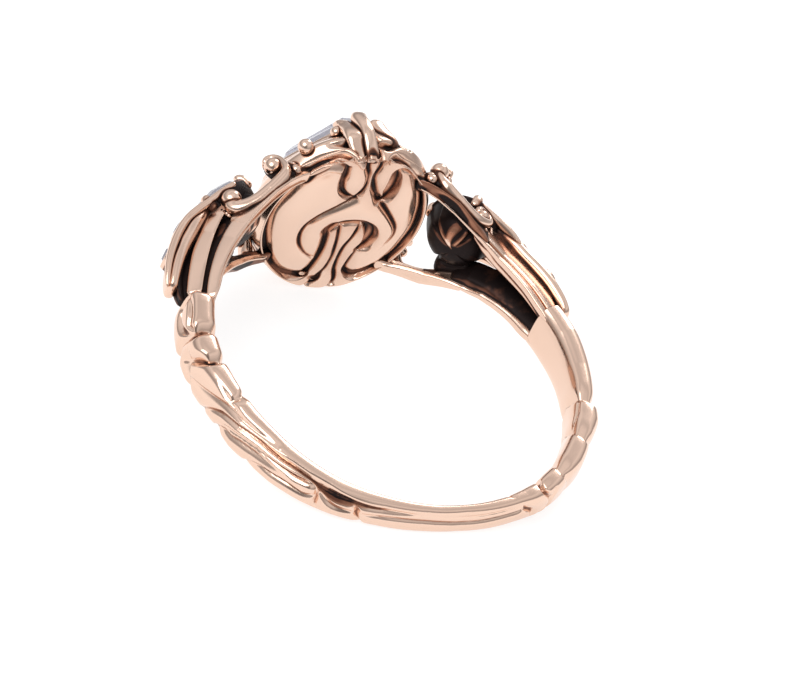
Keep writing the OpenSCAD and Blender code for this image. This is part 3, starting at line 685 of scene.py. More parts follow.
def wall_up(angle, radius):
    """Direction out of the wall's outer face, at right angles to its two slopes."""
    turn, climb = 0.5, 0.05
    along = wall_face(angle + turn, radius) - wall_face(angle - turn, radius)
    rise = wall_face(angle, radius + climb) - wall_face(angle, radius - climb)
    normal = unit(np.cross(along, rise))
    return normal * np.sign(normal[..., 2:])


# Rows along a bar, points round it, and the length of its round ends
BEAM_ROWS = 130
BEAM_SIDES = 40
BEAM_END = 0.3
# Powers of the section: nearly square for a bar, rounder for a rail
SQUARE = 4.5
RAIL_POWER = 3.0
# Negative share of patina and painted shade, which keeps a bar bright also where it lies in another piece's
# hollow
BRIGHT = -0.8


def beam(rows, power=SQUARE, back_shade=1.0, face_shade=0.0):
    """Bar along the wall: a rounded square stretched between four edges, two on the wall's face between a
    low and a high radius, and two behind them. It narrows as a half circle at its ends, and its face and its
    back each have their own patina and painted shade, the back's for the shade between the walls.
    columns: angle, low and high radius, thickness at the low and at the high edge, height out of the face"""
    angle, low, high, thick_low, thick_high, proud = smooth_path(rows, BEAM_ROWS, 1).T
    edges = [wall_face(angle, low, proud), wall_face(angle, high, proud),
             wall_face(angle, low, proud - thick_low), wall_face(angle, high, proud - thick_high)]
    low_out, high_out, low_in, high_in = (edge[:, None] for edge in edges)
    share = round_ends(edges[0], BEAM_END)[:, None]
    a, b = (share * side for side in rounded(full_turn(BEAM_SIDES), power))
    a, b = a[..., None], b[..., None]
    points = ((1 + b) * ((1 - a) * low_out + (1 + a) * high_out)
              + (1 - b) * ((1 - a) * low_in + (1 + a) * high_in)) / 4
    return grid(points, face_shade + (back_shade - face_shade) * ease(-0.35, -0.9, b[..., 0]))


# Core of a wall between its bars, painted dark on most walls for the shade there
CORE = [[73, 8.75, 9.9, 0.5, 0.4, -0.32], [68, 8.72, 10.3, 0.5, 0.4, -0.3],
        [60, 8.72, 10.55, 0.55, 0.4, -0.3], [53, 8.78, 10.55, 0.6, 0.4, -0.3],
        [49.5, 8.82, 10.2, 0.6, 0.4, -0.3], [47, 8.84, 10.0, 0.6, 0.4, -0.3],
        [44, 8.88, 10.0, 0.6, 0.4, -0.3], [39.5, 8.97, 10.0, 0.55, 0.4, -0.28],
        [37, 9.0, 9.9, 0.5, 0.4, -0.28]]
# Band towards the head, whose painted shade shoulder() is given
BAND = [[43, 8.86, 9.7, 0.42, 0.35, 0.0], [40, 8.9, 9.8, 0.5, 0.35, 0.02], [36, 8.95, 9.7, 0.58, 0.4, 0.02],
        [32, 9.0, 9.6, 0.62, 0.4, 0.02], [28, 9.08, 9.55, 0.64, 0.4, 0.0],
        [24, 9.16, 9.6, 0.64, 0.4, -0.06], [20, 9.2, 9.62, 0.66, 0.4, -0.12],
        [16, 9.22, 9.62, 0.66, 0.4, -0.15]]
# Block between a wall and the cup, and the plate behind the large curl, both painted black for the shade
# there
BLOCK = [[31.4, 9.45, 10.25, 0.6, 0.7, -0.3], [33.5, 9.4, 10.6, 0.6, 0.8, -0.28],
         [37, 9.4, 10.5, 0.6, 0.8, -0.26], [40.5, 9.4, 10.15, 0.6, 0.7, -0.26]]
PLATE = [[20.6, 9.4, 10.75, 0.4, 0.3, 0.04], [22.4, 9.4, 10.95, 0.45, 0.35, 0.12],
         [24.6, 9.4, 10.75, 0.45, 0.35, 0.12], [26.4, 9.35, 10.0, 0.4, 0.3, 0.02]]
# Rail along the edge of the opening, low on the left and far walls, broad on the near right one
RAIL = [[74, 8.62, 8.95, 0.3, 0.3, -0.45], [70, 8.54, 8.92, 0.42, 0.36, -0.28],
        [66, 8.48, 8.92, 0.44, 0.38, -0.28], [60, 8.54, 8.95, 0.4, 0.32, -0.36],
        [54, 8.6, 8.98, 0.38, 0.3, -0.32], [48, 8.68, 9.02, 0.32, 0.26, -0.24],
        [42, 8.77, 9.05, 0.22, 0.18, -0.24], [36, 8.86, 9.1, 0.16, 0.14, -0.48],
        [30, 8.98, 9.2, 0.13, 0.12, -0.62], [24, 9.1, 9.3, 0.12, 0.12, -0.6],
        [18, 9.14, 9.34, 0.12, 0.12, -0.57]]
BROAD_RAIL = [[73, 8.58, 9.0, 0.4, 0.36, -0.16], [70, 8.54, 9.02, 0.44, 0.38, -0.08],
              [66, 8.5, 9.06, 0.46, 0.4, -0.06], [60, 8.54, 9.1, 0.46, 0.36, -0.06],
              [54, 8.6, 9.12, 0.46, 0.34, -0.06], [48, 8.68, 9.12, 0.42, 0.3, -0.08],
              [42, 8.77, 9.1, 0.3, 0.22, -0.16], [38, 8.84, 9.1, 0.2, 0.18, -0.36]] + RAIL[8:]
# Bars on the side of the left walls, and the one broad bar of the right walls
LEFT_BARS = [
    [[72, 8.62, 9.02, 0.3, 0.3, 0.0], [68, 8.62, 9.08, 0.38, 0.3, 0.02], [62, 8.66, 9.17, 0.42, 0.3, 0.02],
     [56, 8.7, 9.28, 0.4, 0.3, 0.02], [50, 8.76, 9.42, 0.38, 0.3, 0.02], [45, 8.82, 9.56, 0.36, 0.3, 0.02],
     [41, 8.88, 9.66, 0.34, 0.3, 0.02], [38, 8.98, 9.6, 0.34, 0.3, 0.0], [35, 9.05, 9.45, 0.3, 0.3, -0.06]],
    [[71, 9.24, 9.84, 0.34, 0.3, 0.02], [67, 9.28, 9.92, 0.36, 0.3, 0.06],
     [62, 9.37, 10.04, 0.36, 0.3, 0.08], [56, 9.52, 10.22, 0.36, 0.3, 0.08],
     [50, 9.73, 10.39, 0.36, 0.3, 0.08], [46, 9.9, 10.58, 0.36, 0.3, 0.08],
     [41.5, 10.1, 10.74, 0.36, 0.3, 0.1], [38.5, 10.2, 10.8, 0.4, 0.36, 0.22],
     [36, 10.25, 10.8, 0.4, 0.36, 0.38]],
]
RIGHT_BARS = [
    [[70, 9.08, 9.8, 0.4, 0.3, 0.02], [66, 9.1, 10.05, 0.5, 0.3, 0.05], [62, 9.12, 10.45, 0.48, 0.3, 0.05],
     [57, 9.14, 10.8, 0.44, 0.3, 0.05], [51, 9.14, 11.05, 0.4, 0.3, 0.05],
     [46, 9.12, 11.15, 0.36, 0.3, 0.05], [42.5, 9.1, 11.12, 0.34, 0.3, 0.04],
     [39.6, 9.12, 10.95, 0.3, 0.3, 0.0]],
]
# The broad bar on the far side, which leaves its slot open beside the cup
FAR_BARS = [
    [[70, 8.76, 9.8, 0.4, 0.3, 0.02], [66, 8.76, 10.0, 0.5, 0.3, 0.05], [62, 8.8, 10.3, 0.48, 0.3, 0.05],
     [57, 8.84, 10.4, 0.44, 0.3, 0.05], [51, 8.88, 10.2, 0.4, 0.3, 0.05], [46, 8.93, 10.0, 0.36, 0.3, 0.05],
     [42.5, 8.98, 10.0, 0.34, 0.3, 0.04], [39.6, 9.05, 10.05, 0.3, 0.3, 0.0]],
]

# Scroll strand, from the small curl at the bars along the band into the large curl at the head
# columns: angle, radius, half width, half height, height out of the wall's face
SCROLL = [[36.0, 10.08, 0.12, 0.22, 0.12], [35.2, 10.25, 0.14, 0.24, 0.14], [35.5, 10.47, 0.16, 0.26, 0.14],
          [36.9, 10.6, 0.18, 0.27, 0.14], [38.4, 10.48, 0.2, 0.27, 0.14], [39.0, 10.15, 0.21, 0.27, 0.12],
          [38.0, 9.8, 0.26, 0.28, 0.06], [36.0, 9.5, 0.31, 0.3, -0.02], [33.3, 9.39, 0.32, 0.32, -0.1],
          [30.0, 9.4, 0.31, 0.32, -0.1], [27.2, 9.46, 0.3, 0.34, -0.04], [24.8, 9.56, 0.28, 0.37, 0.02],
          [23.1, 9.78, 0.25, 0.39, 0.04], [21.9, 10.18, 0.23, 0.4, 0.04], [21.3, 10.58, 0.21, 0.4, 0.04],
          [21.9, 10.86, 0.2, 0.38, 0.06], [23.4, 10.93, 0.18, 0.34, 0.08], [24.8, 10.74, 0.16, 0.26, 0.1]]
SCROLL_ROWS = 190
SCROLL_SIDES = 26
# Beads of a scroll: in its two curls, of solder at the bars, and at the joint with the head
# columns: angle, radius, size, height out of the wall's face
LEFT_ENDS = [[24.2, 10.46, 0.41, 0.2], [37.2, 10.36, 0.5, 0.08]]
RIGHT_ENDS = [[22.4, 10.6, 0.44, 0.34], [24.8, 10.5, 0.3, 0.1], [36.9, 10.26, 0.33, 0.1]]
FAR_ENDS = [[23.2, 10.4, 0.25, 0.1], [36.9, 10.26, 0.33, 0.1]]
SOLDER = [[40.4, 10.32, 0.1, 0.02], [40.6, 10.18, 0.1, 0.02], [40.9, 10.04, 0.1, 0.02],
          [41.2, 9.9, 0.1, 0.0], [39.6, 9.5, 0.13, -0.02]]
HEAD_JOINT = [[20.3, 10.0, 0.32, -0.08], [20.4, 9.7, 0.26, 0.0]]
# Start of the strand under a closed knob, before the rows of SCROLL from KNOB_ROW on
KNOB = [[37.6, 10.3, 0.3, 0.3, 0.08], [38.6, 10.15, 0.38, 0.36, 0.1], [39.0, 9.9, 0.36, 0.34, 0.08],
        [38.0, 9.68, 0.34, 0.32, 0.04]]
KNOB_ROW = 7
# Upper end of the near right strand, in place of the rows of SCROLL from CURL_ROW on
CURL = [[21.5, 10.58, 0.21, 0.38, 0.1], [22.4, 10.9, 0.2, 0.34, 0.22], [24.3, 11.0, 0.18, 0.28, 0.38],
        [25.8, 10.8, 0.15, 0.22, 0.46]]
CURL_ROW = 14


def scroll(side, end):
    """S-shaped strand with a bead in each of its two curls. On the left its small curl is a closed knob,
    and the near right one's large curl stands out from the wall."""
    if side < 0:
        rows = KNOB + SCROLL[KNOB_ROW:]
    elif end > 0:
        rows = SCROLL[:CURL_ROW] + CURL
    else:
        rows = SCROLL
    beads = FAR_ENDS
    if end > 0:
        beads = (RIGHT_ENDS if side > 0 else LEFT_ENDS) + SOLDER + HEAD_JOINT
    angle, radius, wide, high, proud = smooth_path(rows, SCROLL_ROWS).T
    path = wall_face(angle, radius, proud)
    shapes = [sweep(path, wall_up(angle, radius), wide, high, SCROLL_SIDES, STRAND_POWER)]
    for angle, radius, size, proud in beads:
        shapes.append(ball(wall_face(angle, radius, proud), size))
    return joined(shapes)


# Front strip of a shoulder, by angle: half width, half thickness, radius of its crest
STRIP = [[33, 0.55, 0.2, 11.2], [37, 0.8, 0.26, 11.3], [41, 0.95, 0.32, 11.3], [44, 1.02, 0.36, 11.28],
         [47, 1.04, 0.38, 11.25], [51, 0.98, 0.38, 11.15], [55, 0.95, 0.38, 11.1], [59, 0.9, 0.36, 11.02],
         [63, 0.8, 0.33, 10.92], [66.5, 0.66, 0.28, 10.8], [69.5, 0.42, 0.22, 10.66]]
# Rolled edge from the strip on beside the cup, by angle: radius, distance along the finger, half width
STRIP_EDGE = [[49, 10.82, 0.85, 0.12], [46.5, 10.96, 0.95, 0.18], [44, 11.02, 1.05, 0.21],
              [41, 11.02, 1.2, 0.2], [38.5, 10.96, 1.38, 0.19], [35.5, 10.9, 1.6, 0.17],
              [33, 10.86, 1.72, 0.15]]
# The left one's near edge goes on along the whole strip
LEFT_EDGE = [[69.5, 10.72, 0.3, 0.08], [66.5, 10.86, 0.5, 0.15], [62, 11.02, 0.68, 0.19],
             [57, 11.12, 0.8, 0.21], [52, 11.2, 0.86, 0.21], [48, 11.22, 0.9, 0.21],
             [44.5, 11.14, 1.04, 0.21]] + STRIP_EDGE[3:]
# Rows along a strip, points round it, and the power of its section
STRIP_ROWS = 90
STRIP_SIDES = 40
STRIP_POWER = 2.6
# Accent stones, by angle: radius of the stone, distance of its girdle
ACCENT = [[47.5, 0.52, 11.22], [57.5, 0.44, 11.02]]
# Collar round an accent stone
# columns: 1 if measured from the stone's edge, 0 if from its axis; distance; height over the girdle
COLLAR = np.array([[0, 0.02, -0.3], [1, -0.1, -0.28], [1, 0.2, -0.35], [1, 0.24, -0.1], [1, 0.23, 0.06],
                   [1, 0.16, 0.2], [1, 0.03, 0.17], [1, 0.0, -0.04], [0, 0.02, -0.12]])
COLLAR_SIDES = 40


def front_strip(near_edge):
    """Front strip over the two walls: a flat strand along its crest, with two rolled edges and a raised
    collar turned round each accent stone."""
    angle, wide, high, crest = smooth_path(STRIP, STRIP_ROWS, 1).T
    up = at_ring(angle, 1.0, 0.0)
    shapes = [sweep(at_ring(angle, crest - high, 0.0), up, wide, high, STRIP_SIDES, STRIP_POWER)]
    for end, rows in ((1, near_edge), (-1, STRIP_EDGE)):
        angle, radius, along, wide = smooth_path(rows, STRIP_ROWS, 1).T
        edge = sweep(at_ring(angle, radius, along), at_ring(angle, 1.0, 0.0), wide, wide * 0.9)
        shapes.append(mirrored(edge, 1, end))
    for angle, radius, girdle in ACCENT:
        profile = np.stack([COLLAR[:, 0] * radius + COLLAR[:, 1], COLLAR[:, 2]], 1)
        middle, axis = at_ring(angle, girdle, 0.0), at_ring(angle, 1.0, 0.0)
        shapes.append(turned(smooth_path(profile, COLLAR_SIDES), middle, axis, COLLAR_SIDES))
    return joined(shapes)


# Side cups
CUP_ANGLE = 34.0
# columns: radius, distance from the finger axis
CUP = [[0.02, 9.12], [0.5, 9.14], [0.95, 9.3], [1.32, 9.65], [1.52, 10.1], [1.66, 10.5], [1.74, 10.8],
       [1.76, 10.95], [1.7, 11.02], [1.63, 10.96], [1.6, 10.85], [1.4, 10.75], [0.02, 10.7]]
CUP_ROWS = 100
CUP_SIDES = 240
# Rows of the profile up to the rim
CUP_OUTSIDE = 58
# Petals: half of one's turn, the turn of the first, and the turn from there to the side painted with
# highlights
PETAL_HALF = np.pi / 4
PETAL_TURN = math.radians(67)
LIT_TURN = 0.8
# Ridge along a petal's border: how far inside it, its width and height; and the gap's depth past it
RIDGE_IN = 0.12
RIDGE_WIDE = 0.09
RIDGE_HIGH = 0.05
GAP_DEEP = 0.08
# columns: distance from the cup's axis, from the finger axis
CLAW = [(1.6, 10.5), (1.68, 10.85), (1.66, 11.08), (1.52, 11.22), (1.38, 11.24)]


def stone_cup(claw_turn):
    """Closed cup under a side stone: a profile turned round the stone's axis. Four pointed petals meet
    below it. A petal's edge is a ridge, exp(-(off / width)^2), with off measured from its border, and dark
    metal lies in the gaps. The cup is painted dark with patina and shade, and the ridges and a cloud of
    three waves round it are painted bright as copper highlights, most on the side that faces one turn. Four
    claws stand on the rim."""
    axis = at_ring(CUP_ANGLE, 1.0, 0.0)
    profile = smooth_path(CUP, CUP_ROWS)
    t = full_turn(CUP_SIDES)[None]
    side = unit(np.cross(axis, ALONG_FINGER))
    ring = side * np.cos(t)[..., None] + ALONG_FINGER * np.sin(t)[..., None]
    r, h = profile.T[..., None]
    outside = np.arange(len(profile))[:, None] < CUP_OUTSIDE
    border = np.abs(np.mod(t - PETAL_TURN, 2 * PETAL_HALF) - PETAL_HALF) * np.maximum(r, 0.05)
    half = (PETAL_HALF - 0.05) * np.clip(r, 0, 1.3) ** 0.85
    off = border - half + RIDGE_IN
    # Painted copper highlights, strongest on the side that faces that turn; the ridges also stand higher
    # there
    facing = ease(0.35, 0.9, np.cos(t - PETAL_TURN - LIT_TURN))
    lit_side = 0.12 + 0.88 * facing * ease(1.5, 0.9, r)
    ridge = lit_side * np.exp(-(off / RIDGE_WIDE) ** 2) * ease(0.1, 0.3, r) * ease(1.85, 1.5, r)
    gap = ease(0.04, 0.12, off) * ease(0.2, 0.5, r)
    swell = np.where(outside, RIDGE_HIGH * ridge - GAP_DEEP * gap, 0)
    points = (r + swell)[..., None] * ring + (h - 0.5 * swell)[..., None] * axis
    cloud = ease(0.5, 1.0, np.sin(3 * t + 2.2 * r)) * lit_side
    # Patina and painted shade over the cup, taken away along the ridges and in the cloud, which are painted
    # highlights
    stain = np.where(outside, 1.12 - 0.75 * ridge - 0.75 * cloud * (1 - gap), 0.85)
    shapes = [grid(points, stain)]
    for k in range(4):
        a = math.radians(90 * k + claw_turn)
        out = side * math.cos(a) + ALONG_FINGER * math.sin(a)
        path = np.stack([out * away + axis * height for away, height in CLAW])
        shapes.append(sweep(smooth_path(path, 24, 3), out + axis, 0.25, 0.22))
    return joined(shapes)


def shoulder(side, near_bars, far_bars, near_shade, far_shade):
    """Both walls of a shoulder, with their bars and scrolls, and its front strip. The two shades are the
    painted shade of the bands towards the head, near and far; below 0 they keep a band bright."""
    parts = [mirrored(front_strip(LEFT_EDGE if side < 0 else STRIP_EDGE), side)]
    for end, bars, stain in ((1, near_bars, near_shade), (-1, far_bars, far_shade)):
        broad = side > 0 and end > 0
        wall = [beam(CORE, face_shade=0.0 if broad else 0.8),
                beam(BAND, back_shade=stain, face_shade=stain),
                beam(BLOCK, face_shade=1.0),
                beam(BROAD_RAIL if broad else RAIL, RAIL_POWER, BRIGHT, BRIGHT),
                scroll(side, end)]
        if end > 0:
            wall.append(beam(PLATE, face_shade=1.0))
        wall += [beam(rows, face_shade=BRIGHT) for rows in bars]
        parts += [mirrored(shape, side, end) for shape in wall]
    return joined(parts)


# Pieces
def point_layer(mesh, name, values):
    """A number for each point of a mesh, which its material reads by name."""
    layer = mesh.attributes.new(name, "FLOAT", "POINT")
    layer.data.foreach_set("value", values.astype(np.float32))


def build(name, shape, material):
    """Mesh object of a shape, in place, riding on the ring's one body."""
    points, quads, triangles, stain = shape
    mesh = bpy.data.meshes.new(name)
    mesh.vertices.add(len(points))
    mesh.vertices.foreach_set("co", place(points).astype(np.float32).ravel())
    corners = np.concatenate([quads.ravel(), triangles.ravel()]).astype(np.int32)
    starts = np.concatenate([np.arange(len(quads)) * 4, 4 * len(quads) + 3 * np.arange(len(triangles))])
    mesh.loops.add(len(corners))
    mesh.loops.foreach_set("vertex_index", corners)
    mesh.polygons.add(len(starts))
    mesh.polygons.foreach_set("loop_start", starts.astype(np.int32))
    mesh.update(calc_edges=True)
    mesh.validate()
    mesh.polygons.foreach_set("use_smooth", np.ones(len(starts), bool))
    point_layer(mesh, "stain", stain)
    obj = bpy.data.objects.new(name, mesh)
    bpy.context.scene.collection.objects.link(obj)
    mesh.materials.append(material)
    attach(obj, "root")
    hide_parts("mount")
    return obj


# Hollows: how much metal lies round each point, from the whole ring's skin
# The grid's cell, its margin in cells, the cells that its sides grow by, and the sizes of the soft balls for
# narrow grooves and wide hollows
CELL = 0.09
MARGIN = 12
SIDE_STEP = 16
GROOVE_SIZE = 0.14
HOLLOW_SIZE = 0.55


def metal_round(points, pushes, *sizes):
    """Share of metal in a soft ball round each point, for each size of ball. The skin's outward area
    vectors N are spread over a grid; since the gradient of the metal's inside is -N, its transform is
    i k.N / |k|^2, times exp(-(size |k|)^2 / 2) for the soft ball."""
    low = points.min(0) - MARGIN * CELL
    reach = (points.max(0) + MARGIN * CELL - low) / CELL
    shape = np.ceil(reach / SIDE_STEP).astype(int) * SIDE_STEP + 2
    place_in = (points - low) / CELL
    base = np.floor(place_in).astype(int)
    part = place_in - base
    corners = []
    for corner in np.ndindex(2, 2, 2):
        weight = np.prod(np.where(np.array(corner) == 1, part, 1 - part), axis=1)
        corners.append((np.ravel_multi_index(tuple((base + corner).T), tuple(shape)), weight))
    waves = [np.fft.fftfreq(shape[0], CELL), np.fft.fftfreq(shape[1], CELL), np.fft.rfftfreq(shape[2], CELL)]
    k = np.meshgrid(*(2 * np.pi * wave for wave in waves), indexing="ij", sparse=True)
    square = k[0] ** 2 + k[1] ** 2 + k[2] ** 2
    square[0, 0, 0] = 1
    total = 0
    for axis in range(3):
        field = sum(np.bincount(index, weight * pushes[:, axis], shape.prod()) for index, weight in corners)
        total = total + 1j * k[axis] * np.fft.rfftn(field.reshape(shape)) / CELL ** 3
    total = total / square
    shares = []
    for size in sizes:
        inside = np.fft.irfftn(total * np.exp(-size ** 2 * square / 2), s=tuple(shape)).ravel()
        inside -= np.median(inside[:shape[1] * shape[2]])
        shares.append(sum(inside[index] * weight for index, weight in corners))
    return shares


def area_vectors(points, quads, triangles):
    """Outward area vector of each point: a quarter or a third of those of its faces."""
    total = np.zeros(points.shape)
    quad = np.cross(points[quads[:, 2]] - points[quads[:, 0]], points[quads[:, 3]] - points[quads[:, 1]]) / 8
    triangle = np.cross(points[triangles[:, 1]] - points[triangles[:, 0]],
                        points[triangles[:, 2]] - points[triangles[:, 0]]) / 6
    for faces, push in ((quads, quad), (triangles, triangle)):
        for corner in faces.T:
            for axis in range(3):
                total[:, axis] += np.bincount(corner, push[:, axis], len(points))
    return total


# Colours of the metal from worn bright through patina and painted shade to black, and of the stones
BRIGHT_GOLD = (0.87, 0.635, 0.51, 1)
DEEP_GOLD = (0.82, 0.575, 0.445, 1)
WARM_PATINA_AND_SHADE = (0.5, 0.24, 0.15, 1)
BROWN_PATINA_AND_SHADE = (0.16, 0.065, 0.04, 1)
BLACK_PATINA_AND_SHADE = (0.014, 0.009, 0.009, 1)
PALE_STONE = (0.7, 0.7, 0.79, 1)
CLOUDY_STONE = (0.78, 0.78, 0.86, 1)
# Shares of metal round a point between which grooves and hollows turn dark with patina and painted shade,
# and the metal patchy
GROOVE_DARK = (0.54, 0.72)
HOLLOW_DARK = (0.62, 0.88)
METAL_PATCHY = (0.5, 0.6)
# Darknesses between which the metal turns to each colour of patina and painted shade
TO_WARM = (0.05, 0.4)
TO_BROWN = (0.32, 0.7)
TO_BLACK = (0.74, 1.02)


# Materials
class Value:
    """A shader number: arithmetic on it adds Math nodes."""

    def __init__(self, finish, socket):
        self.finish, self.socket = finish, socket

    def math(self, operation, first, second, clamped=False):
        """The Math node of an operation on two numbers, kept between 0 and 1 if clamped."""
        settings = {"operation": operation, "use_clamp": clamped}
        return self.finish.number("ShaderNodeMath", settings, {0: first, 1: second})

    def __add__(self, other):
        return self.math("ADD", self, other)

    def __sub__(self, other):
        return self.math("SUBTRACT", self, other)

    def __rsub__(self, other):
        return self.math("SUBTRACT", other, self)

    def __mul__(self, other):
        return self.math("MULTIPLY", self, other)

    __radd__ = __add__
    __rmul__ = __mul__

    def clamp(self):
        """The number kept between 0 and 1."""
        return self.math("ADD", self, 0.0, clamped=True)


class Finish:
    """The nodes of a material, or of the surround, round its one surface node."""

    def __init__(self, owner, surface="Principled BSDF", **constants):
        owner.use_nodes = True
        self.owner, self.tree = owner, owner.node_tree
        self.surface = self.tree.nodes[surface]
        for socket, value in constants.items():
            self.surface.inputs[socket.replace("_", " ")].default_value = value

    def node(self, kind, settings, sockets):
        """A node of a kind: its settings come first, then the values or links of its sockets, by number
        or name. A ramp's stops are a setting: position and colour of each, eased from one to the next."""
        made = self.tree.nodes.new(kind)
        for key, value in settings.items():
            if key == "stops":
                made.color_ramp.interpolation = "EASE"
                ends = made.color_ramp.elements
                ends[0].position, ends[0].color = value[0]
                ends[1].position, ends[1].color = value[-1]
                for position, colour in value[1:-1]:
                    made.color_ramp.elements.new(position).color = colour
            else:
                setattr(made, key, value)
        for key, value in sockets.items():
            if isinstance(value, Value):
                value = value.socket
            if isinstance(value, bpy.types.NodeSocket):
                self.tree.links.new(value, made.inputs[key])
            else:
                made.inputs[key].default_value = value
        return made

    def number(self, kind, settings, sockets, output=0):
        """A node whose output is a number to go on with."""
        return Value(self, self.node(kind, settings, sockets).outputs[output])

    def coordinates(self, name="Object"):
        """Socket of one kind of texture coordinates, by its name."""
        return self.node("ShaderNodeTexCoord", {}, {}).outputs[name]

    def attribute(self, name):
        """A number that the mesh keeps for each point."""
        return self.number("ShaderNodeAttribute", {"attribute_name": name}, {}, "Fac")

    def noise(self, scale, detail=3.0):
        """Cloudy pattern about 0.5, with a scale to the metre."""
        sockets = {"Vector": self.coordinates(), "Scale": scale, "Detail": detail}
        return self.number("ShaderNodeTexNoise", {}, sockets)

    def mix(self, share, first, second):
        """Colour mix; either colour may be a socket."""
        sockets = {0: share, 6: first, 7: second}
        return self.node("ShaderNodeMix", {"data_type": "RGBA"}, sockets).outputs[2]

    def ramp(self, value, low, high):
        """0 below low, 1 above high, eased between."""
        sockets = dict(enumerate((value, low, high, 0.0, 1.0)))
        return self.number("ShaderNodeMapRange", {"interpolation_type": "SMOOTHSTEP"}, sockets)

    def link(self, value, socket):
        """A number or a socket, led to a socket of the surface."""
        source = value.socket if isinstance(value, Value) else value
        self.tree.links.new(source, self.surface.inputs[socket])


def rose_gold():
    """Polished rose gold: bright where it is worn, with brown patina and painted shade on the slopes of its
    hollows and black at their bottoms, stronger where the point attribute of patina and painted shade says
    so."""
    finish = Finish(bpy.data.materials.new("rose_gold"), Specular_IOR_Level=0.15)
    cavity = finish.attribute("cavity")
    hollow = finish.attribute("hollow")
    stain = finish.attribute("stain")
    patchy = finish.noise(1400.0) - 0.5
    groove = finish.ramp(cavity, *GROOVE_DARK)
    # Dark: patina in the hollows and grooves, partly painted shade, with the point attribute's patina and
    # painted shade and patchy noise
    dark = (groove * 0.9 + finish.ramp(hollow, *HOLLOW_DARK) * 0.5 + stain
            + patchy * 0.6 * (finish.ramp(cavity, *METAL_PATCHY) + stain)).clamp()
    clean = finish.mix(finish.noise(260.0), BRIGHT_GOLD, DEEP_GOLD)
    warm = finish.mix(finish.ramp(dark, *TO_WARM), clean, WARM_PATINA_AND_SHADE)
    brown = finish.mix(finish.ramp(dark, *TO_BROWN), warm, BROWN_PATINA_AND_SHADE)
    finish.link(finish.mix(finish.ramp(dark, *TO_BLACK), brown, BLACK_PATINA_AND_SHADE), "Base Color")
    finish.link(1.0 - dark * 0.5, "Metallic")
    finish.link(finish.noise(700.0) * 0.1 + 0.13 + dark * 0.25, "Roughness")
    grain = {"Strength": 0.06, "Distance": 0.00001, "Height": finish.noise(9000.0, 2.0)}
    finish.link(finish.node("ShaderNodeBump", {}, grain).outputs[0], "Normal")
    return finish.owner


def clear_stone():
    """Pale clear stone, faintly grey-lavender, with slight cloudiness."""
    finish = Finish(bpy.data.materials.new("clear_stone"), Roughness=0.03, IOR=1.6, Transmission_Weight=0.55)
    finish.link(finish.mix(finish.noise(500.0), PALE_STONE, CLOUDY_STONE), "Base Color")
    return finish.owner


gold = rose_gold()
stone = clear_stone()

pieces = {
    "head_back": head_back(),
    "head_wall": head_wall(),
    "head_rim": head_rim(),
    "shank": shank(),
    "left_shoulder": shoulder(-1, LEFT_BARS, LEFT_BARS, BRIGHT, 0.6),
    "right_shoulder": shoulder(1, RIGHT_BARS, FAR_BARS, 0.5, BRIGHT),
    "left_cup": mirrored(stone_cup(40), -1),
    "right_cup": stone_cup(0),
}
every_point = np.vstack([shape[0] for shape in pieces.values()])
every_push = np.vstack([area_vectors(*shape[:3]) for shape in pieces.values()])
cavity, hollow = metal_round(every_point, every_push, GROOVE_SIZE, HOLLOW_SIZE)
last_points = np.cumsum([len(shape[0]) for shape in pieces.values()])[:-1]
cavity, hollow = np.split(cavity, last_points), np.split(hollow, last_points)
for (name, shape), narrow, wide in zip(pieces.items(), cavity, hollow):
    obj = build(name, shape, gold)
    point_layer(obj.data, "cavity", narrow)
    point_layer(obj.data, "hollow", wide)

for name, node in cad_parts.items():
    if name != "mount":
        node.data.materials.clear()
        node.data.materials.append(stone)

# Camera: azimuth, height above the finger hole's plane, roll, and millimetres from the finger axis
VIEW_AZIMUTH = math.radians(34.11)
VIEW_HEIGHT = math.radians(41.93)
VIEW_ROLL = math.radians(27.95)
VIEW_DISTANCE = 370.4
PIXELS_PER_MM = 22.324
PHOTO_WIDTH = 785
# Where the finger axis's middle lies from the picture's middle, to the left and down, in millimetres
VIEW_ASIDE = 0.141
VIEW_BELOW = 0.804
SENSOR = 36
# Way the camera looks, in the ring's own directions
VIEW_LOOK = np.array([math.cos(VIEW_HEIGHT) * math.sin(VIEW_AZIMUTH),
                      math.cos(VIEW_HEIGHT) * math.cos(VIEW_AZIMUTH), -math.sin(VIEW_HEIGHT)])
# Floor, in metres: half of its side, and the distances from the ring between which it turns greyer
FLOOR_REACH = 0.6
WHITE_TO = 0.035
GREY_FROM = 0.13
# Its colours, near and cloudy and far, and those of its own light, near and far
FLOOR_PALE = (0.4, 0.4, 0.4, 1)
FLOOR_CLOUDY = (0.42, 0.42, 0.42, 1)
FLOOR_GREY = (0.36, 0.35, 0.35, 1)
GLOW_WHITE = (1, 1, 1, 1)
GLOW_GREY = (0.22, 0.215, 0.215, 1)
# Bands of the surround, columns: height from 0 at the horizon and below to 1 overhead, red and green, blue
BANDS = [[0.0, 0.5, 0.52], [0.18, 0.42, 0.4284], [0.5, 0.8, 0.816], [0.72, 0.98, 0.9996],
         [0.88, 0.7, 0.714], [1.0, 0.95, 0.97]]
# Strength of the surround, how much less the patch on the camera's side has, and the cosines of the angle
# from the camera between which that patch begins
SKY_STRENGTH = 0.9
PATCH_LESS = 0.6
PATCH_EDGE = (0.8, 0.95)
# Lights: name, place and size in metres, power
LIGHTS = [("key", (-0.28, -0.12, 0.36), (0.34, 0.3), 0.9), ("rim", (0.3, 0.34, 0.24), (0.16, 0.3), 0.55)]


def placed_direction(direction):
    """A direction of the ring's own, turned to the resting pose."""
    return unit(place(direction) - place(np.zeros(3)))


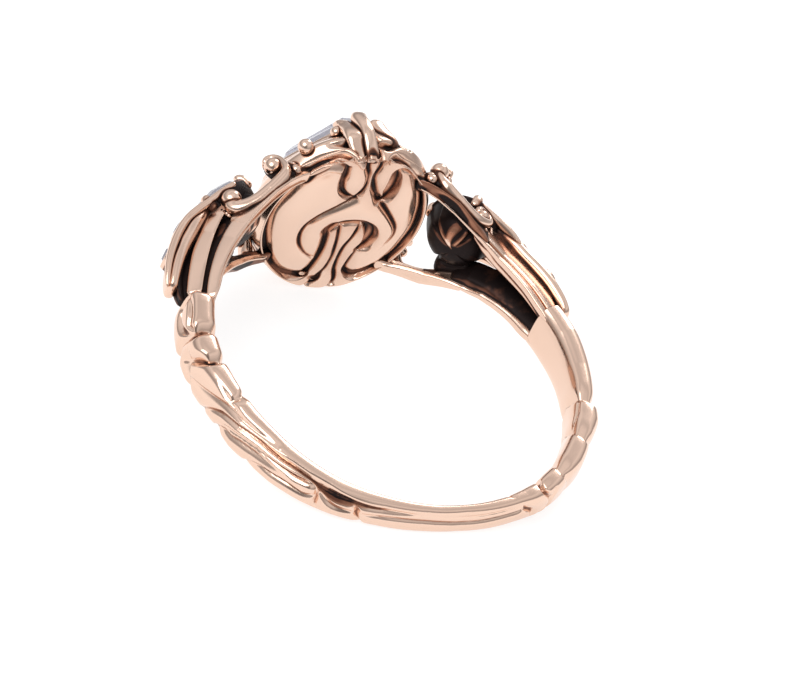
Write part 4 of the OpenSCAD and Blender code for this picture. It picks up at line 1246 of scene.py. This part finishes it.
# Floor, light and camera
def floor():
    """Pale floor, a large square, white round the ring and greyer far from it. It glows, a painted pool of
    light round the ring that also washes out the ring's shadow.
    """
    mesh = bpy.data.meshes.new("floor")
    corners = [(-1, -1), (1, -1), (1, 1), (-1, 1)]
    mesh.from_pydata([(FLOOR_REACH * x, FLOOR_REACH * y, 0) for x, y in corners], [], [(0, 1, 2, 3)])
    obj = bpy.data.objects.new("floor", mesh)
    bpy.context.scene.collection.objects.link(obj)
    material = bpy.data.materials.new("floor")
    finish = Finish(material, Roughness=0.6, Specular_IOR_Level=0.1, Emission_Strength=0.75)
    away = finish.number("ShaderNodeVectorMath", {"operation": "LENGTH"}, {0: finish.coordinates()}, "Value")
    far = finish.ramp(away, WHITE_TO, GREY_FROM)
    pale = finish.mix(finish.noise(30.0), FLOOR_PALE, FLOOR_CLOUDY)
    finish.link(finish.mix(far, pale, FLOOR_GREY), "Base Color")
    finish.link(finish.mix(far, GLOW_WHITE, GLOW_GREY), "Emission Color")
    mesh.materials.append(material)


def sky():
    """Soft studio surround: bands of light by height, and a dim patch on the camera's side."""
    world = bpy.data.worlds.new("studio")
    bpy.context.scene.world = world
    finish = Finish(world, "Background")
    spot = finish.coordinates("Generated")
    height = finish.number("ShaderNodeSeparateXYZ", {}, {0: spot}, 2)
    stops = [(level, (grey, grey, blue, 1)) for level, grey, blue in BANDS]
    finish.link(finish.node("ShaderNodeValToRGB", {"stops": stops}, {0: height}).outputs[0], "Color")
    sockets = {0: spot, 1: placed_direction(-VIEW_LOOK)}
    facing = finish.number("ShaderNodeVectorMath", {"operation": "DOT_PRODUCT"}, sockets, "Value")
    finish.link(SKY_STRENGTH - finish.ramp(facing, *PATCH_EDGE) * PATCH_LESS, "Strength")


def softbox(name, at, size, power):
    """Rectangular area light that faces the ring."""
    light = bpy.data.lights.new(name, "AREA")
    light.shape = "RECTANGLE"
    light.size, light.size_y = size
    light.energy = power
    obj = bpy.data.objects.new(name, light)
    bpy.context.scene.collection.objects.link(obj)
    back = unit(np.asarray(at, float))
    side = unit(np.cross(ALONG_FINGER, back))
    turn = np.eye(4)
    turn[:3, :3] = np.stack([side, np.cross(back, side), back], 1)
    turn[:3, 3] = at
    obj.matrix_world = Matrix(turn.tolist())


def camera():
    """Camera at the photo's angle: looks along an azimuth and down by a height, rolled, from a distance."""
    level = np.array([math.cos(VIEW_AZIMUTH), -math.sin(VIEW_AZIMUTH), 0])
    rise = np.cross(level, VIEW_LOOK)
    c, s = math.cos(VIEW_ROLL), math.sin(VIEW_ROLL)
    right, up = c * level + s * rise, c * rise - s * level
    eye = -VIEW_DISTANCE * VIEW_LOOK + VIEW_ASIDE * right + VIEW_BELOW * up
    data = bpy.data.cameras.new("camera")
    data.sensor_width = SENSOR
    data.lens = SENSOR * PIXELS_PER_MM * VIEW_DISTANCE / PHOTO_WIDTH
    data.clip_start, data.clip_end = 0.01, 10
    obj = bpy.data.objects.new("camera", data)
    bpy.context.scene.collection.objects.link(obj)
    turn = np.eye(4)
    for k, direction in enumerate((right, up, -VIEW_LOOK)):
        turn[:3, k] = placed_direction(direction)
    turn[:3, 3] = place(eye)
    obj.matrix_world = Matrix(turn.tolist())
    bpy.context.scene.camera = obj


floor()
sky()
for light in LIGHTS:
    softbox(*light)
camera()
bpy.context.scene.view_settings.view_transform = "Standard"
